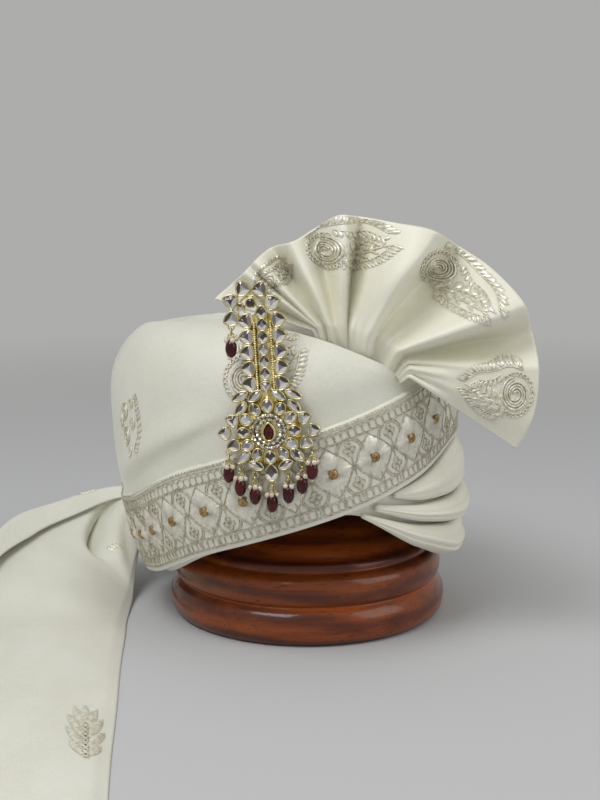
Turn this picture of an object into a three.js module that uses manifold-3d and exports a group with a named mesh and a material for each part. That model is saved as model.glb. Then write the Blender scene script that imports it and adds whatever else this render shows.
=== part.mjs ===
// A tied turban on a turned wooden stand: a hollow wound drum, a smooth front winding with an embroidered
// border, a pleated fan, rolled side folds, a free tail and a stone-set brooch with red drops.
// Millimetres, +Z up. The origin is the middle of the stand's foot, -Y is the front and +X the fan's side.
import * as THREE from 'three';
import { mergeVertices } from 'three/addons/utils/BufferGeometryUtils.js';
import Module from 'manifold-3d';

const wasm = await Module();
wasm.setup();

const GAP = 0.4; // between pieces that lie against each other
const LAYER_GAP = 1.5; // between windings

// The drum: an oval as a head is, turned towards the fan's side, with a bulging wall and a sunken top.
const CROWN_X = -15;
const CROWN_Y = 5;
const HALF_LENGTH = 121;
const HALF_BREADTH = 107;
const FRONT_AZIMUTH = -72;
const CROWN_WALL = 7; // several wound layers
const CROWN_SIDES = 36;
const CROWN_TILT = 10; // how much lower the top stands at the back left
const TILT_AZIMUTH = 135;
const LEFT_TAPER = { share: 0.06, azimuth: -170, from: 115, to: 45 }; // the wall draws in towards the left rim
const RIGHT_TAPER = { share: 0.055, azimuth: 5, from: 85, to: 115 }; // and, under the fan, towards the top
const CROWN_ROWS = [0, 0.13, 0.29, 0.43, 0.52, 0.58, 0.65, 0.74, 0.86, 0.985];
const CROWN_SECTIONS = [
  { height: 22, spread: 0.8 },
  { height: 45, spread: 0.88 },
  { height: 75, spread: 0.955 },
  { height: 110, spread: 0.995 },
  { height: 145, spread: 1.0 },
  { height: 163, spread: 0.975 },
  { height: 177, spread: 0.9 },
  { height: 185, spread: 0.78 },
  { height: 187.5, spread: 0.6 },
  { height: 186.5, spread: 0.4 },
  { height: 185, spread: 0.2 },
  { height: 184.5, spread: 0.06 },
];

// Heights of the rim and of the border's lower edge round the drum. Azimuth 0 is +X and 90 is the back.
const EDGE_HEIGHTS = [
  { azimuth: -180, rim: 38, border: 42 },
  { azimuth: -147, rim: 35, border: 38.5 },
  { azimuth: -110, rim: 60, border: 62.5 },
  { azimuth: -72, rim: 85, border: 88.2 },
  { azimuth: -50, rim: 66, border: 103 },
  { azimuth: -25, rim: 54, border: 117 },
  { azimuth: 10, rim: 52, border: 118 },
  { azimuth: 60, rim: 48, border: 100 },
  { azimuth: 110, rim: 44, border: 74 },
  { azimuth: 150, rim: 42, border: 48 },
];
const BORDER_WIDTH = 50;
const BORDER_THICK = 1.6;
const BORDER_ENDS = { left: -200, right: 70 };

// The front winding: from the right side round the front to the back left, with a standing upper edge.
const WRAP_THICK = 2.4;
const WRAP_ENDS = { left: -230, right: 0 };
const WRAP_LIP = 4.6; // how far the upper edge stands off the drum beside the fan
const WRAP_TOP = [
  { azimuth: -240, height: 176, lip: 0 },
  { azimuth: -180, height: 184, lip: 0 },
  { azimuth: -120, height: 186.5, lip: 0 },
  { azimuth: -96, height: 185, lip: 0.35 },
  { azimuth: -80, height: 179.5, lip: 1 },
  { azimuth: -58, height: 164, lip: 0.75 },
  { azimuth: -44, height: 153, lip: 0.1 },
  { azimuth: -25, height: 148, lip: 0 },
  { azimuth: 6, height: 147, lip: 0 },
];

// The rolled side folds: lower and upper edge, and how far each stands off the drum.
const SIDE_FOLDS = [
  [
    { azimuth: -68, low: 83.5, high: 86, bulge: 2.5 },
    { azimuth: -46, low: 60, high: 73, bulge: 9 },
    { azimuth: -22, low: 46.5, high: 66, bulge: 16 },
    { azimuth: 12, low: 45, high: 65, bulge: 17 },
    { azimuth: 70, low: 43, high: 63, bulge: 12 },
    { azimuth: 128, low: 42, high: 59, bulge: 6 },
  ],
  [
    { azimuth: -64, low: 86.4, high: 90.5, bulge: 2.5 },
    { azimuth: -46, low: 75.5, high: 85.5, bulge: 8 },
    { azimuth: -22, low: 68, high: 83, bulge: 13 },
    { azimuth: 12, low: 67, high: 84.5, bulge: 15 },
    { azimuth: 70, low: 65, high: 86, bulge: 11 },
    { azimuth: 128, low: 61.5, high: 80, bulge: 6 },
  ],
  [
    { azimuth: -58, low: 92.6, high: 95.4, bulge: 2 },
    { azimuth: -46, low: 88, high: 101.5, bulge: 5 },
    { azimuth: -22, low: 85.5, high: 113.5, bulge: 8 },
    { azimuth: 12, low: 87, high: 114.5, bulge: 10 },
    { azimuth: 40, low: 88.5, high: 104, bulge: 9 },
    { azimuth: 70, low: 89, high: 93, bulge: 3 },
  ],
];

// The fan: a pleated sheet gathered on a short root. Each row is a ridge or a valley, with its length and depth.
const FAN_ROOT_LEFT = new THREE.Vector3(10, -100, 185);
const FAN_ROOT_RIGHT = new THREE.Vector3(47, -101.5, 168.6);
const FAN_LEAN = 0.2; // how far the fan leans back for each millimetre of height
const FAN_SWING = 0.12; // how far its right side swings back for each millimetre across
const FAN_THICK = 2;
const FAN_PLEATS = [
  { angle: 163, reach: 65, forward: -1 },
  { angle: 153, reach: 60, forward: -6 },
  { angle: 143, reach: 58, forward: 5 },
  { angle: 139.5, reach: 58, forward: -2 },
  { angle: 135.5, reach: 58.5, forward: 6 },
  { angle: 125, reach: 59.5, forward: -6 },
  { angle: 115, reach: 58.5, forward: 7 },
  { angle: 103, reach: 63, forward: -5 },
  { angle: 92, reach: 70, forward: 6 },
  { angle: 86, reach: 70, forward: -8 },
  { angle: 76, reach: 71, forward: 3 },
  { angle: 62, reach: 76, forward: 12 },
  { angle: 49, reach: 78.5, forward: -12 },
  { angle: 36, reach: 82, forward: -4 },
  { angle: 22, reach: 84, forward: 11 },
  { angle: 9, reach: 86, forward: -10 },
  { angle: -3, reach: 83.5, forward: 4 },
  { angle: -20, reach: 84.5, forward: 4 },
  { angle: -34.6, reach: 85, forward: 0 },
];

// The tail: each row is a cross-section from its right edge to its left edge, with the depth of its folds.
const TAIL_THICK = 1.8;
const TAIL_FOLDS = 2.5; // folds across the width
const TAIL_SECTIONS = [
  { rightX: -106, rightY: 62, rightZ: 38, leftX: -114, leftY: 70, leftZ: 74, fold: 0.5 },
  { rightX: -113, rightY: 42, rightZ: 30, leftX: -140, leftY: 64, leftZ: 66, fold: 4 },
  { rightX: -114, rightY: 18, rightZ: 14, leftX: -176, leftY: 54, leftZ: 57, fold: 8 },
  { rightX: -113, rightY: -6, rightZ: 2, leftX: -206, leftY: 36, leftZ: 49, fold: 9 },
  { rightX: -112, rightY: -36, rightZ: 0, leftX: -218, leftY: 0, leftZ: 24, fold: 8 },
  { rightX: -109, rightY: -68, rightZ: 0, leftX: -217, leftY: -45, leftZ: 4, fold: 6 },
  { rightX: -105, rightY: -115, rightZ: 0, leftX: -212, leftY: -105, leftZ: 0, fold: 4 },
  { rightX: -98, rightY: -180, rightZ: 0, leftX: -205, leftY: -180, leftZ: 0, fold: 3 },
  { rightX: -92, rightY: -240, rightZ: 0, leftX: -199, leftY: -242, leftZ: 0, fold: 3 },
  { rightX: -85, rightY: -298, rightZ: 0, leftX: -193, leftY: -300, leftZ: 0, fold: 2 },
];

// The stand's turned outline, from the foot up to the head that carries the crown from inside.
const STAND_SIDES = 28;
const STAND_OUTLINE = [
  { radius: 84, height: 0 },
  { radius: 87.2, height: 5 },
  { radius: 88, height: 11 },
  { radius: 86.5, height: 18 },
  { radius: 82.5, height: 22.7 },
  { radius: 84.6, height: 27 },
  { radius: 85.4, height: 32 },
  { radius: 83.5, height: 38.5 },
  { radius: 79, height: 42.5 },
  { radius: 77.6, height: 46.5 },
  { radius: 73.5, height: 48 },
  { radius: 68, height: 56 },
  { radius: 52, height: 69 },
  { radius: 30, height: 80 },
  { radius: 18, height: 92 },
  { radius: 16, height: 136 },
  { radius: 38, height: 153 },
  { radius: 46, height: 163 },
  { radius: 40, height: 171.5 },
  { radius: 22, height: 174.5 },
];

// The brooch: an upright plate leaned against the front winding. Across is to the right, up is along its stem.
const BROOCH_AT = new THREE.Vector3(-21, -120.4, 135);
const BROOCH_YAW = -8;
const BROOCH_LEAN = -3;
const BROOCH_ROLL = 4;
const PLATE_THICK = 1.2;
const BEZEL_HEIGHT = 2.2;
const STONE_HEIGHT = 1.3;
const STONE_SIDES = 8;
const PLATE_RADIUS = 23.5;
const STEM_WIDTH = 22;
const STEM_TOP = 64;
const RUBY = { width: 5.2, length: 8, height: 2 };
const ROSETTE_RING = { count: 12, radius: 14, width: 3.2, length: 3.6 };
const BEADED_RING = { radius: 8.6, wire: 1.1 }; // carries the smallest stones
const STEM_RAIL = { across: 4.3, width: 1.1, height: 2 };
const ROSETTE_EDGE = [
  { angle: 0, radius: 24.3, width: 3.5, length: 3.5 },
  { angle: 19, radius: 20.9, width: 3.4, length: 3.6 },
  { angle: -19, radius: 20.9, width: 3.4, length: 3.6 },
  { angle: 42, radius: 19.6, width: 2.5, length: 4.6 },
  { angle: -42, radius: 19.6, width: 2.7, length: 4.2 },
  { angle: -66, radius: 20, width: 2.5, length: 4.4 },
];
const BOTTOM_STONE = { across: 0, up: -22.6, width: 3.6, length: 4.2 };
const LEAF_STONES = [
  { across: 6.4, up: 19.5, width: 2.5, length: 4.6, turn: 35 },
  { across: 14.6, up: 19.6, width: 2.4, length: 5, turn: 25 },
];
const STEM_COLUMNS = [
  { across: -8.8, from: 26, step: 8.5, count: 5, size: 3.9, turn: 180 },
  { across: 8.8, from: 26, step: 8.5, count: 5, size: 3.9, turn: 0 },
  { across: 0, from: 24.5, step: 6.6, count: 7, size: 2.7, turn: 90 },
];
const CREST = { across: -5.4, up: 66, radius: 12, first: 16, step: 46.5, count: 5, size: 4 };
const DARK_STONE = { across: -5.4, up: 69.6, size: 2.7 };
const WIRE = 0.36;
const EYELET_RADIUS = 1.6;
const LINK_RADIUS = 1.9;
const BEAD = { width: 6.4, length: 10, collar: 6, pearl: 2.7, tip: 1.9 };
const DROPS = [
  { across: -22.9, up: -10.8 },
  { across: -17, up: -18.4 },
  { across: -9.2, up: -23.3 },
  { across: 0, up: -27.9 },
  { across: 9.2, up: -23.3 },
  { across: 17, up: -18.4 },
  { across: 22.9, up: -10.8 },
  { across: -17, up: 57.2 },
];

const IVORY = new THREE.MeshStandardMaterial({ color: 0xe9e6d6, roughness: 0.55 });
const IVORY_WORK = new THREE.MeshStandardMaterial({ color: 0xddd5ba, roughness: 0.45 });
const VARNISHED_WOOD = new THREE.MeshStandardMaterial({ color: 0x7a2f14, roughness: 0.28 });
const GILT = new THREE.MeshStandardMaterial({ color: 0xc9a45a, roughness: 0.3, metalness: 1 });
const RED_GLASS = new THREE.MeshStandardMaterial({ color: 0x5a0a10, roughness: 0.1 });

const radians = THREE.MathUtils.degToRad;
const lerp = THREE.MathUtils.lerp;

// Smooth values between the rows of a table: each column is carried by cubic pieces that don't overshoot.
function tableCurve(rows, key) {
  const spans = rows.length - 1;
  const slope = (i, column) =>
    (rows[i + 1][column] - rows[i][column]) / (rows[i + 1][key] - rows[i][key]);
  const tangent = (i, column) => {
    if (i === 0) return slope(0, column);
    if (i === spans) return slope(spans - 1, column);
    const before = slope(i - 1, column);
    const after = slope(i, column);
    return before * after > 0 ? (2 * before * after) / (before + after) : 0;
  };
  return (at, column) => {
    const rising = rows[spans][key] > rows[0][key];
    let i = rows.findIndex((row, n) => n > 0 && (rising ? at <= row[key] : at >= row[key])) - 1;
    if (i < 0) i = spans - 1;
    const width = rows[i + 1][key] - rows[i][key];
    const t = THREE.MathUtils.clamp((at - rows[i][key]) / width, 0, 1);
    const [a, b] = [rows[i][column], rows[i + 1][column]];
    const [ta, tb] = [tangent(i, column) * width, tangent(i + 1, column) * width];
    const t2 = t * t;
    const t3 = t2 * t;
    return (2 * t3 - 3 * t2 + 1) * a + (t3 - 2 * t2 + t) * ta + (3 * t2 - 2 * t3) * b + (t3 - t2) * tb;
  };
}

// The same for a table that goes once round: the first row is repeated a turn later.
function roundTable(rows) {
  const last = rows.at(-1);
  const closed = [
    { ...last, azimuth: last.azimuth - 360 },
    ...rows,
    { ...rows[0], azimuth: rows[0].azimuth + 360 },
    { ...rows[1], azimuth: rows[1].azimuth + 360 },
  ];
  const curve = tableCurve(closed, 'azimuth');
  return (azimuth, column) => curve(THREE.MathUtils.euclideanModulo(azimuth + 180, 360) - 180, column);
}

function meshGeometry(points, triangles) {
  const geometry = new THREE.BufferGeometry().setFromPoints(points);
  geometry.setIndex(triangles.flat());
  return mergeVertices(geometry, 1e-4);
}

// A closed body lofted through rings of equal count, with a fan of triangles on each end.
function loft(rings) {
  const count = rings[0].length;
  const points = rings.flat();
  const triangles = [];
  rings.slice(1).forEach((_, r) => {
    for (let i = 0; i < count; i++) {
      const j = (i + 1) % count;
      const [a, b] = [r * count + i, r * count + j];
      triangles.push([a, b, b + count], [a, b + count, a + count]);
    }
  });
  const capMiddle = (ring) =>
    points.push(ring.reduce((sum, p) => sum.add(p), new THREE.Vector3()).divideScalar(count)) - 1;
  const first = capMiddle(rings[0]);
  const last = capMiddle(rings.at(-1));
  const top = (rings.length - 1) * count;
  for (let i = 0; i < count; i++) {
    const j = (i + 1) % count;
    triangles.push([first, j, i], [last, top + i, top + j]);
  }
  return meshGeometry(points, triangles);
}

// A wall between two sheets of points, front[i][j] and back[i][j], closed along its four edges.
function wall(front, back) {
  const rows = front.length;
  const columns = front[0].length;
  const points = [...front.flat(), ...back.flat()];
  const at = (side, i, j) => side * rows * columns + i * columns + j;
  const triangles = [];
  const quad = (a, b, c, d) => triangles.push([a, b, c], [a, c, d]);
  for (let i = 0; i + 1 < rows; i++) {
    for (let j = 0; j + 1 < columns; j++) {
      quad(at(0, i, j), at(0, i + 1, j), at(0, i + 1, j + 1), at(0, i, j + 1));
      quad(at(1, i, j), at(1, i, j + 1), at(1, i + 1, j + 1), at(1, i + 1, j));
    }
    quad(at(0, i, 0), at(1, i, 0), at(1, i + 1, 0), at(0, i + 1, 0));
    quad(at(0, i + 1, columns - 1), at(1, i + 1, columns - 1), at(1, i, columns - 1), at(0, i, columns - 1));
  }
  for (let j = 0; j + 1 < columns; j++) {
    quad(at(0, 0, j + 1), at(1, 0, j + 1), at(1, 0, j), at(0, 0, j));
    quad(at(0, rows - 1, j), at(1, rows - 1, j), at(1, rows - 1, j + 1), at(0, rows - 1, j + 1));
  }
  return meshGeometry(points, triangles);
}

const steps = (count) => Array.from({ length: count + 1 }, (_, i) => i / count);

// The drum's surface: an oval at each azimuth, and a profile measured along the wall from the rim to the top.
const MEAN_RADIUS = (HALF_LENGTH + HALF_BREADTH) / 2;
const profile = new THREE.SplineCurve(
  CROWN_SECTIONS.map((row) => new THREE.Vector2(row.spread * MEAN_RADIUS, row.height)),
);
const PROFILE_LENGTH = profile.getLength();
const profileHeight = (along) => profile.getPointAt(along).y;
const PROFILE_PEAK = Array.from({ length: 101 }, (_, i) => i / 100).reduce((best, along) =>
  profileHeight(along) > profileHeight(best) ? along : best,
);

function ovalRadius(azimuth) {
  const angle = radians(azimuth - FRONT_AZIMUTH);
  return 1 / Math.hypot(Math.cos(angle) / HALF_LENGTH, Math.sin(angle) / HALF_BREADTH);
}

function alongAtHeight(height) {
  let [low, high] = [0, PROFILE_PEAK];
  for (let i = 0; i < 30; i++) {
    const middle = (low + high) / 2;
    if (profileHeight(middle) < height) low = middle;
    else high = middle;
  }
  return (low + high) / 2;
}

// How much of the drum's radius is taken off on one side, more and more between two heights.
function taper({ share, azimuth, from, to }, at, height) {
  const [near, far] = [Math.min(from, to), Math.max(from, to)];
  const rise = THREE.MathUtils.smoothstep(height, near, far);
  return share * (0.5 + 0.5 * Math.cos(radians(at - azimuth))) ** 3 * (from < to ? rise : 1 - rise);
}

function crownPoint(azimuth, along, lift = 0) {
  const at = profile.getPointAt(along);
  const tangent = profile.getTangentAt(along);
  const kept = 1 - taper(LEFT_TAPER, azimuth, at.y) - taper(RIGHT_TAPER, azimuth, at.y);
  const radius = (ovalRadius(azimuth) * kept * at.x) / MEAN_RADIUS + lift * tangent.y;
  const turn = radians(azimuth);
  const lowSide = (0.5 + 0.5 * Math.cos(radians(azimuth - TILT_AZIMUTH))) ** 2;
  const drop = CROWN_TILT * lowSide * (at.x / MEAN_RADIUS) * THREE.MathUtils.smoothstep(at.y, 110, 180);
  return new THREE.Vector3(
    CROWN_X + radius * Math.cos(turn),
    CROWN_Y + radius * Math.sin(turn),
    at.y - drop - lift * tangent.x,
  );
}

const edgeHeight = roundTable(EDGE_HEIGHTS);

function crownWrap() {
  const ring = (row, lift) =>
    steps(CROWN_SIDES - 1).map((_, i) => {
      const azimuth = (360 * i) / CROWN_SIDES - 180;
      const rim = alongAtHeight(edgeHeight(azimuth, 'rim'));
      return crownPoint(azimuth, lerp(rim, 1, row), lift);
    });
  const inside = [...CROWN_ROWS].reverse().map((row) => ring(row, -CROWN_WALL));
  const outside = CROWN_ROWS.map((row) => ring(row, 0));
  return loft([...inside, ...outside]);
}

// A panel laid on the drum between two heights, from one azimuth to another, in the drum's own facets.
function crownPanel({ left, right, rows, low, high, back, thick }) {
  const columns = Math.round(((right - left) * CROWN_SIDES) / 360);
  const sheet = (lift) =>
    steps(columns).map((u) => {
      const azimuth = lerp(left, right, u);
      return steps(rows).map((v) => crownPoint(azimuth, lerp(low(azimuth), high(azimuth), v), lift(azimuth, v)));
    });
  return wall(
    sheet((azimuth, v) => back(azimuth, v) + thick),
    sheet(back),
  );
}

const borderLow = (azimuth) => alongAtHeight(edgeHeight(azimuth, 'border'));

// The border keeps its width square to its own slope.
function borderHigh(azimuth) {
  const climb = (borderLow(azimuth + 2) - borderLow(azimuth - 2)) * PROFILE_LENGTH;
  const slope = climb / (ovalRadius(azimuth) * radians(4));
  return borderLow(azimuth) + (BORDER_WIDTH * Math.hypot(1, slope)) / PROFILE_LENGTH;
}

const wrapTop = tableCurve(WRAP_TOP, 'azimuth');

function frontWrap() {
  const low = (azimuth) => borderLow(azimuth) + 0.006;
  const high = (azimuth) =>
    Math.max(alongAtHeight(wrapTop(azimuth, 'height')), borderHigh(azimuth) + 0.02);
  const lip = (azimuth, v) => {
    const border = (borderHigh(azimuth) - low(azimuth)) / (high(azimuth) - low(azimuth));
    const rise = THREE.MathUtils.smoothstep(v, Math.min(border + 0.08, 0.95), 1);
    return LAYER_GAP + wrapTop(azimuth, 'lip') * WRAP_LIP * rise;
  };
  return crownPanel({ ...WRAP_ENDS, rows: 9, low, high, back: lip, thick: WRAP_THICK });
}

function borderBand() {
  return crownPanel({
    ...BORDER_ENDS,
    rows: 7,
    low: borderLow,
    high: borderHigh,
    back: () => LAYER_GAP + WRAP_THICK + 1.5 * GAP,
    thick: BORDER_THICK,
  });
}

// A rolled fold: its section is a fat lens that lies on the drum between its two edges.
function sideFold(rows) {
  const at = tableCurve(rows, 'azimuth');
  const sectionHalf = 4;
  const rings = steps(18).map((u) => {
    const azimuth = lerp(rows[0].azimuth, rows.at(-1).azimuth, u);
    const [low, high] = [alongAtHeight(at(azimuth, 'low')), alongAtHeight(at(azimuth, 'high'))];
    const outer = steps(sectionHalf).map((v) => {
      const swell = Math.sqrt(Math.sin(Math.PI * lerp(0.06, 0.94, v)));
      return crownPoint(azimuth, lerp(low, high, v), LAYER_GAP + at(azimuth, 'bulge') * swell);
    });
    const inner = steps(sectionHalf).map((v) => crownPoint(azimuth, lerp(high, low, v), LAYER_GAP));
    return [...outer, ...inner];
  });
  return loft(rings.reverse());
}

// The fan is a sheet of pleats over a leaning plane, single-valued seen from the front.
function fanSheet(forwardShift) {
  const pleat = tableCurve(FAN_PLEATS, 'angle');
  const [first, last] = [FAN_PLEATS[0].angle, FAN_PLEATS.at(-1).angle];
  const rootShare = 0.05;
  const angles = FAN_PLEATS.slice(1).flatMap((row, i) =>
    [1 / 3, 2 / 3, 1].map((share) => lerp(FAN_PLEATS[i].angle, row.angle, share)),
  );
  return [first, ...angles].map((angle) => {
    const turned = (first - angle) / (first - last);
    const root = FAN_ROOT_LEFT.clone().lerp(FAN_ROOT_RIGHT, THREE.MathUtils.smootherstep(turned, -0.1, 1.1));
    const reach = pleat(angle, 'reach');
    return steps(5).map((v) => {
      const out = reach * lerp(rootShare, 1, v);
      const [across, up] = [out * Math.cos(radians(angle)), out * Math.sin(radians(angle))];
      const opening = Math.sin((Math.PI / 2) * Math.min(1, 1.25 * v + 0.05));
      const back = FAN_LEAN * Math.max(up, 0) + FAN_SWING * Math.abs(across);
      const depth = pleat(angle, 'forward') * opening + forwardShift;
      return new THREE.Vector3(root.x + across, root.y + back - depth, root.z + up);
    });
  });
}

// The tail's upper sheet, and the same sheet a cloth's thickness below it and never under the floor.
function tailSheets() {
  const rows = TAIL_SECTIONS.map((row, i) => ({ ...row, station: i }));
  const section = tableCurve(rows, 'station');
  const [lengthSteps, widthSteps] = [20, 12];
  const top = steps(lengthSteps).map((v) => {
    const station = v * (rows.length - 1);
    const [right, left] = ['right', 'left'].map(
      (edge) => new THREE.Vector3(...['X', 'Y', 'Z'].map((axis) => section(station, edge + axis))),
    );
    return steps(widthSteps).map((u) => {
      const fold = section(station, 'fold') * (0.5 - 0.5 * Math.cos(2 * Math.PI * TAIL_FOLDS * u));
      return right.clone().lerp(left, u).add(new THREE.Vector3(0, 0, TAIL_THICK + fold));
    });
  });
  const along = (i, j, di, dj) => {
    const clampI = (n) => THREE.MathUtils.clamp(n, 0, lengthSteps);
    const clampJ = (n) => THREE.MathUtils.clamp(n, 0, widthSteps);
    return top[clampI(i + di)][clampJ(j + dj)].clone().sub(top[clampI(i - di)][clampJ(j - dj)]);
  };
  const bottom = top.map((points, i) =>
    points.map((point, j) => {
      const normal = along(i, j, 0, 1).cross(along(i, j, 1, 0)).normalize();
      const under = point.clone().addScaledVector(normal, normal.z > 0 ? -TAIL_THICK : TAIL_THICK);
      under.z = Math.max(under.z, 0);
      return under;
    }),
  );
  return [bottom, top];
}

function stand() {
  const outline = STAND_OUTLINE.map((row) => new THREE.Vector2(row.radius, row.height));
  outline.unshift(new THREE.Vector2(0, STAND_OUTLINE[0].height));
  outline.push(new THREE.Vector2(0, STAND_OUTLINE.at(-1).height));
  return new THREE.LatheGeometry(outline, STAND_SIDES).rotateX(Math.PI / 2);
}

function toSolid(geometry) {
  const bare = geometry.clone().deleteAttribute('normal').deleteAttribute('uv');
  const merged = mergeVertices(bare, 1e-4);
  return new wasm.Manifold(
    new wasm.Mesh({
      numProp: 3,
      vertProperties: merged.attributes.position.array,
      triVerts: new Uint32Array(merged.index.array),
    }),
  );
}

function fuse(geometries) {
  const mesh = geometries.map(toSolid).reduce((sum, solid) => sum.add(solid)).getMesh();
  return new THREE.BufferGeometry()
    .setAttribute('position', new THREE.BufferAttribute(mesh.vertProperties, 3))
    .setIndex(new THREE.BufferAttribute(mesh.triVerts, 1));
}

// A cut stone in its bezel: gilt wall, sloping facets and a flat table. Turn 0 points its tip to the right.
function setStone({ across, up, width, length, turn = 0, corners = 0 }) {
  const ring = (scale, height) =>
    steps(STONE_SIDES - 1).map((_, i) => {
      const angle = (2 * Math.PI * i) / STONE_SIDES;
      const swell = scale * (1 + corners * Math.cos(3 * angle));
      const point = new THREE.Vector3(length * swell * Math.cos(angle), width * swell * Math.sin(angle), height);
      return point.applyAxisAngle(new THREE.Vector3(0, 0, 1), radians(turn)).add(new THREE.Vector3(across, up, 0));
    });
  const [table, foot] = [0.45, 0.3];
  return loft([
    ring(1, PLATE_THICK * foot),
    ring(1, BEZEL_HEIGHT),
    ring(table, BEZEL_HEIGHT + STONE_HEIGHT),
  ]);
}

const aroundMiddle = (radius, angle) => ({
  across: radius * Math.cos(radians(angle)),
  up: radius * Math.sin(radians(angle)),
  turn: angle,
});

function broochStones() {
  const stones = [setStone({ ...BOTTOM_STONE, turn: -90, corners: 0.12 })];
  for (let i = 0; i < ROSETTE_RING.count; i++) {
    const place = aroundMiddle(ROSETTE_RING.radius, 90 + (360 * i) / ROSETTE_RING.count);
    stones.push(setStone({ ...ROSETTE_RING, ...place }));
  }
  for (const { angle, radius, width, length } of ROSETTE_EDGE) {
    for (const facing of [angle, 180 - angle]) {
      stones.push(setStone({ ...aroundMiddle(radius, facing), width, length, corners: 0.08 }));
    }
  }
  for (const leaf of LEAF_STONES) {
    stones.push(setStone(leaf), setStone({ ...leaf, across: -leaf.across, turn: 180 - leaf.turn }));
  }
  for (const { across, from, step, count, size, turn } of STEM_COLUMNS) {
    for (let i = 0; i < count; i++) {
      stones.push(setStone({ across, up: from + step * i, width: size, length: size, turn, corners: 0.1 }));
    }
  }
  for (let i = 0; i < CREST.count; i++) {
    const angle = CREST.first + CREST.step * i;
    const at = aroundMiddle(CREST.radius, angle);
    const place = { across: CREST.across + at.across, up: CREST.up + at.up, turn: angle };
    stones.push(setStone({ ...place, width: CREST.size, length: CREST.size, corners: 0.1 }));
  }
  const dark = { ...DARK_STONE, width: DARK_STONE.size, length: DARK_STONE.size };
  stones.push(setStone(dark));
  return stones;
}

function ringWire(radius, wire = WIRE, sides = 10) {
  return new THREE.TorusGeometry(radius, wire, 5, sides);
}

// The gilt plate, its stones and the eyelets that carry the drops, soldered into one piece.
function broochSetting() {
  const middle = PLATE_THICK / 2;
  const rosette = new THREE.CylinderGeometry(PLATE_RADIUS, PLATE_RADIUS, PLATE_THICK, 24)
    .rotateX(Math.PI / 2)
    .translate(0, 0, middle);
  const stem = new THREE.BoxGeometry(STEM_WIDTH, STEM_TOP, PLATE_THICK).translate(0, STEM_TOP / 2, middle);
  const crest = new THREE.CylinderGeometry(CREST.radius, CREST.radius, PLATE_THICK, 20)
    .rotateX(Math.PI / 2)
    .translate(CREST.across, CREST.up, middle);
  const bezel = setStone({ across: 0, up: 0, width: RUBY.width + 1.4, length: RUBY.length * 0.72, turn: 90 });
  const pocket = new THREE.CylinderGeometry(RUBY.width / 2 + GAP, RUBY.width / 2 + GAP, 6, 10)
    .rotateX(Math.PI / 2)
    .scale(1, RUBY.length / RUBY.width, 1)
    .translate(0, 0, PLATE_THICK + 3);
  const eyelets = DROPS.map(({ across, up }) => ringWire(EYELET_RADIUS).translate(across, up, middle));
  const beaded = ringWire(BEADED_RING.radius, BEADED_RING.wire, 16).translate(0, 0, PLATE_THICK);
  const railTop = STEM_TOP - CREST.radius * 0.4;
  const rails = [-1, 1].map((side) =>
    new THREE.BoxGeometry(STEM_RAIL.width, railTop - PLATE_RADIUS, STEM_RAIL.height).translate(
      side * STEM_RAIL.across,
      (railTop + PLATE_RADIUS) / 2,
      PLATE_THICK + STEM_RAIL.height / 2 - GAP,
    ),
  );
  const plate = [rosette, stem, crest, beaded, ...rails];
  const whole = toSolid(fuse([...plate, ...broochStones(), bezel, ...eyelets]));
  const mesh = whole.subtract(toSolid(pocket)).getMesh();
  return new THREE.BufferGeometry()
    .setAttribute('position', new THREE.BufferAttribute(mesh.vertProperties, 3))
    .setIndex(new THREE.BufferAttribute(mesh.triVerts, 1));
}

// The drop-shaped stone: a table, two rows of facets and a flat back.
function rubyCentre() {
  const ring = (scale, height) =>
    steps(9).map((_, i) => {
      const angle = (2 * Math.PI * i) / 10;
      const taper = 1 - 0.25 * Math.sin(angle);
      const across = (RUBY.width / 2) * scale * taper * Math.cos(angle);
      return new THREE.Vector3(across, (RUBY.length / 2) * scale * Math.sin(angle), height);
    });
  const base = PLATE_THICK + GAP;
  return loft([ring(0.9, base), ring(0.92, base + 0.9), ring(0.72, base + 1.5), ring(0.4, base + RUBY.height)]);
}

const LINK_DROP = LINK_RADIUS + EYELET_RADIUS - 2 * WIRE - 0.35; // below the eyelet's middle
const BEAD_DROP = LINK_DROP + LINK_RADIUS + EYELET_RADIUS - 2 * WIRE - 0.35;

// A red bead with its own wire loop, a collar of pearls at its head and one pearl at its tip.
function rubyDrop() {
  const middle = -EYELET_RADIUS - BEAD.length / 2;
  const bead = new THREE.SphereGeometry(BEAD.width / 2, 10, 6).scale(1, BEAD.length / BEAD.width, 1);
  const collar = new THREE.SphereGeometry(BEAD.collar / 2, 8, 4).scale(1, BEAD.pearl / BEAD.collar, 1);
  const tip = new THREE.SphereGeometry(BEAD.tip / 2, 6, 4);
  return fuse([
    ringWire(EYELET_RADIUS),
    bead.translate(0, middle, 0),
    collar.translate(0, middle + BEAD.length * 0.4, 0),
    tip.translate(0, middle - BEAD.length / 2 - 0.3, 0),
  ]);
}

const turban = new THREE.Group();
const add = (name, geometry, material, parent = turban) => {
  const mesh = new THREE.Mesh(geometry, material);
  mesh.name = name;
  parent.add(mesh);
  return mesh;
};

add('stand', stand(), VARNISHED_WOOD);
add('crown_wrap', crownWrap(), IVORY);
add('front_wrap', frontWrap(), IVORY);
add('border_band', borderBand(), IVORY_WORK);
SIDE_FOLDS.forEach((rows, i) => add(`side_fold_${i + 1}`, sideFold(rows), IVORY));
add('fan', wall(fanSheet(FAN_THICK), fanSheet(0)), IVORY);
add('tail', wall(...tailSheets()), IVORY);

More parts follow.
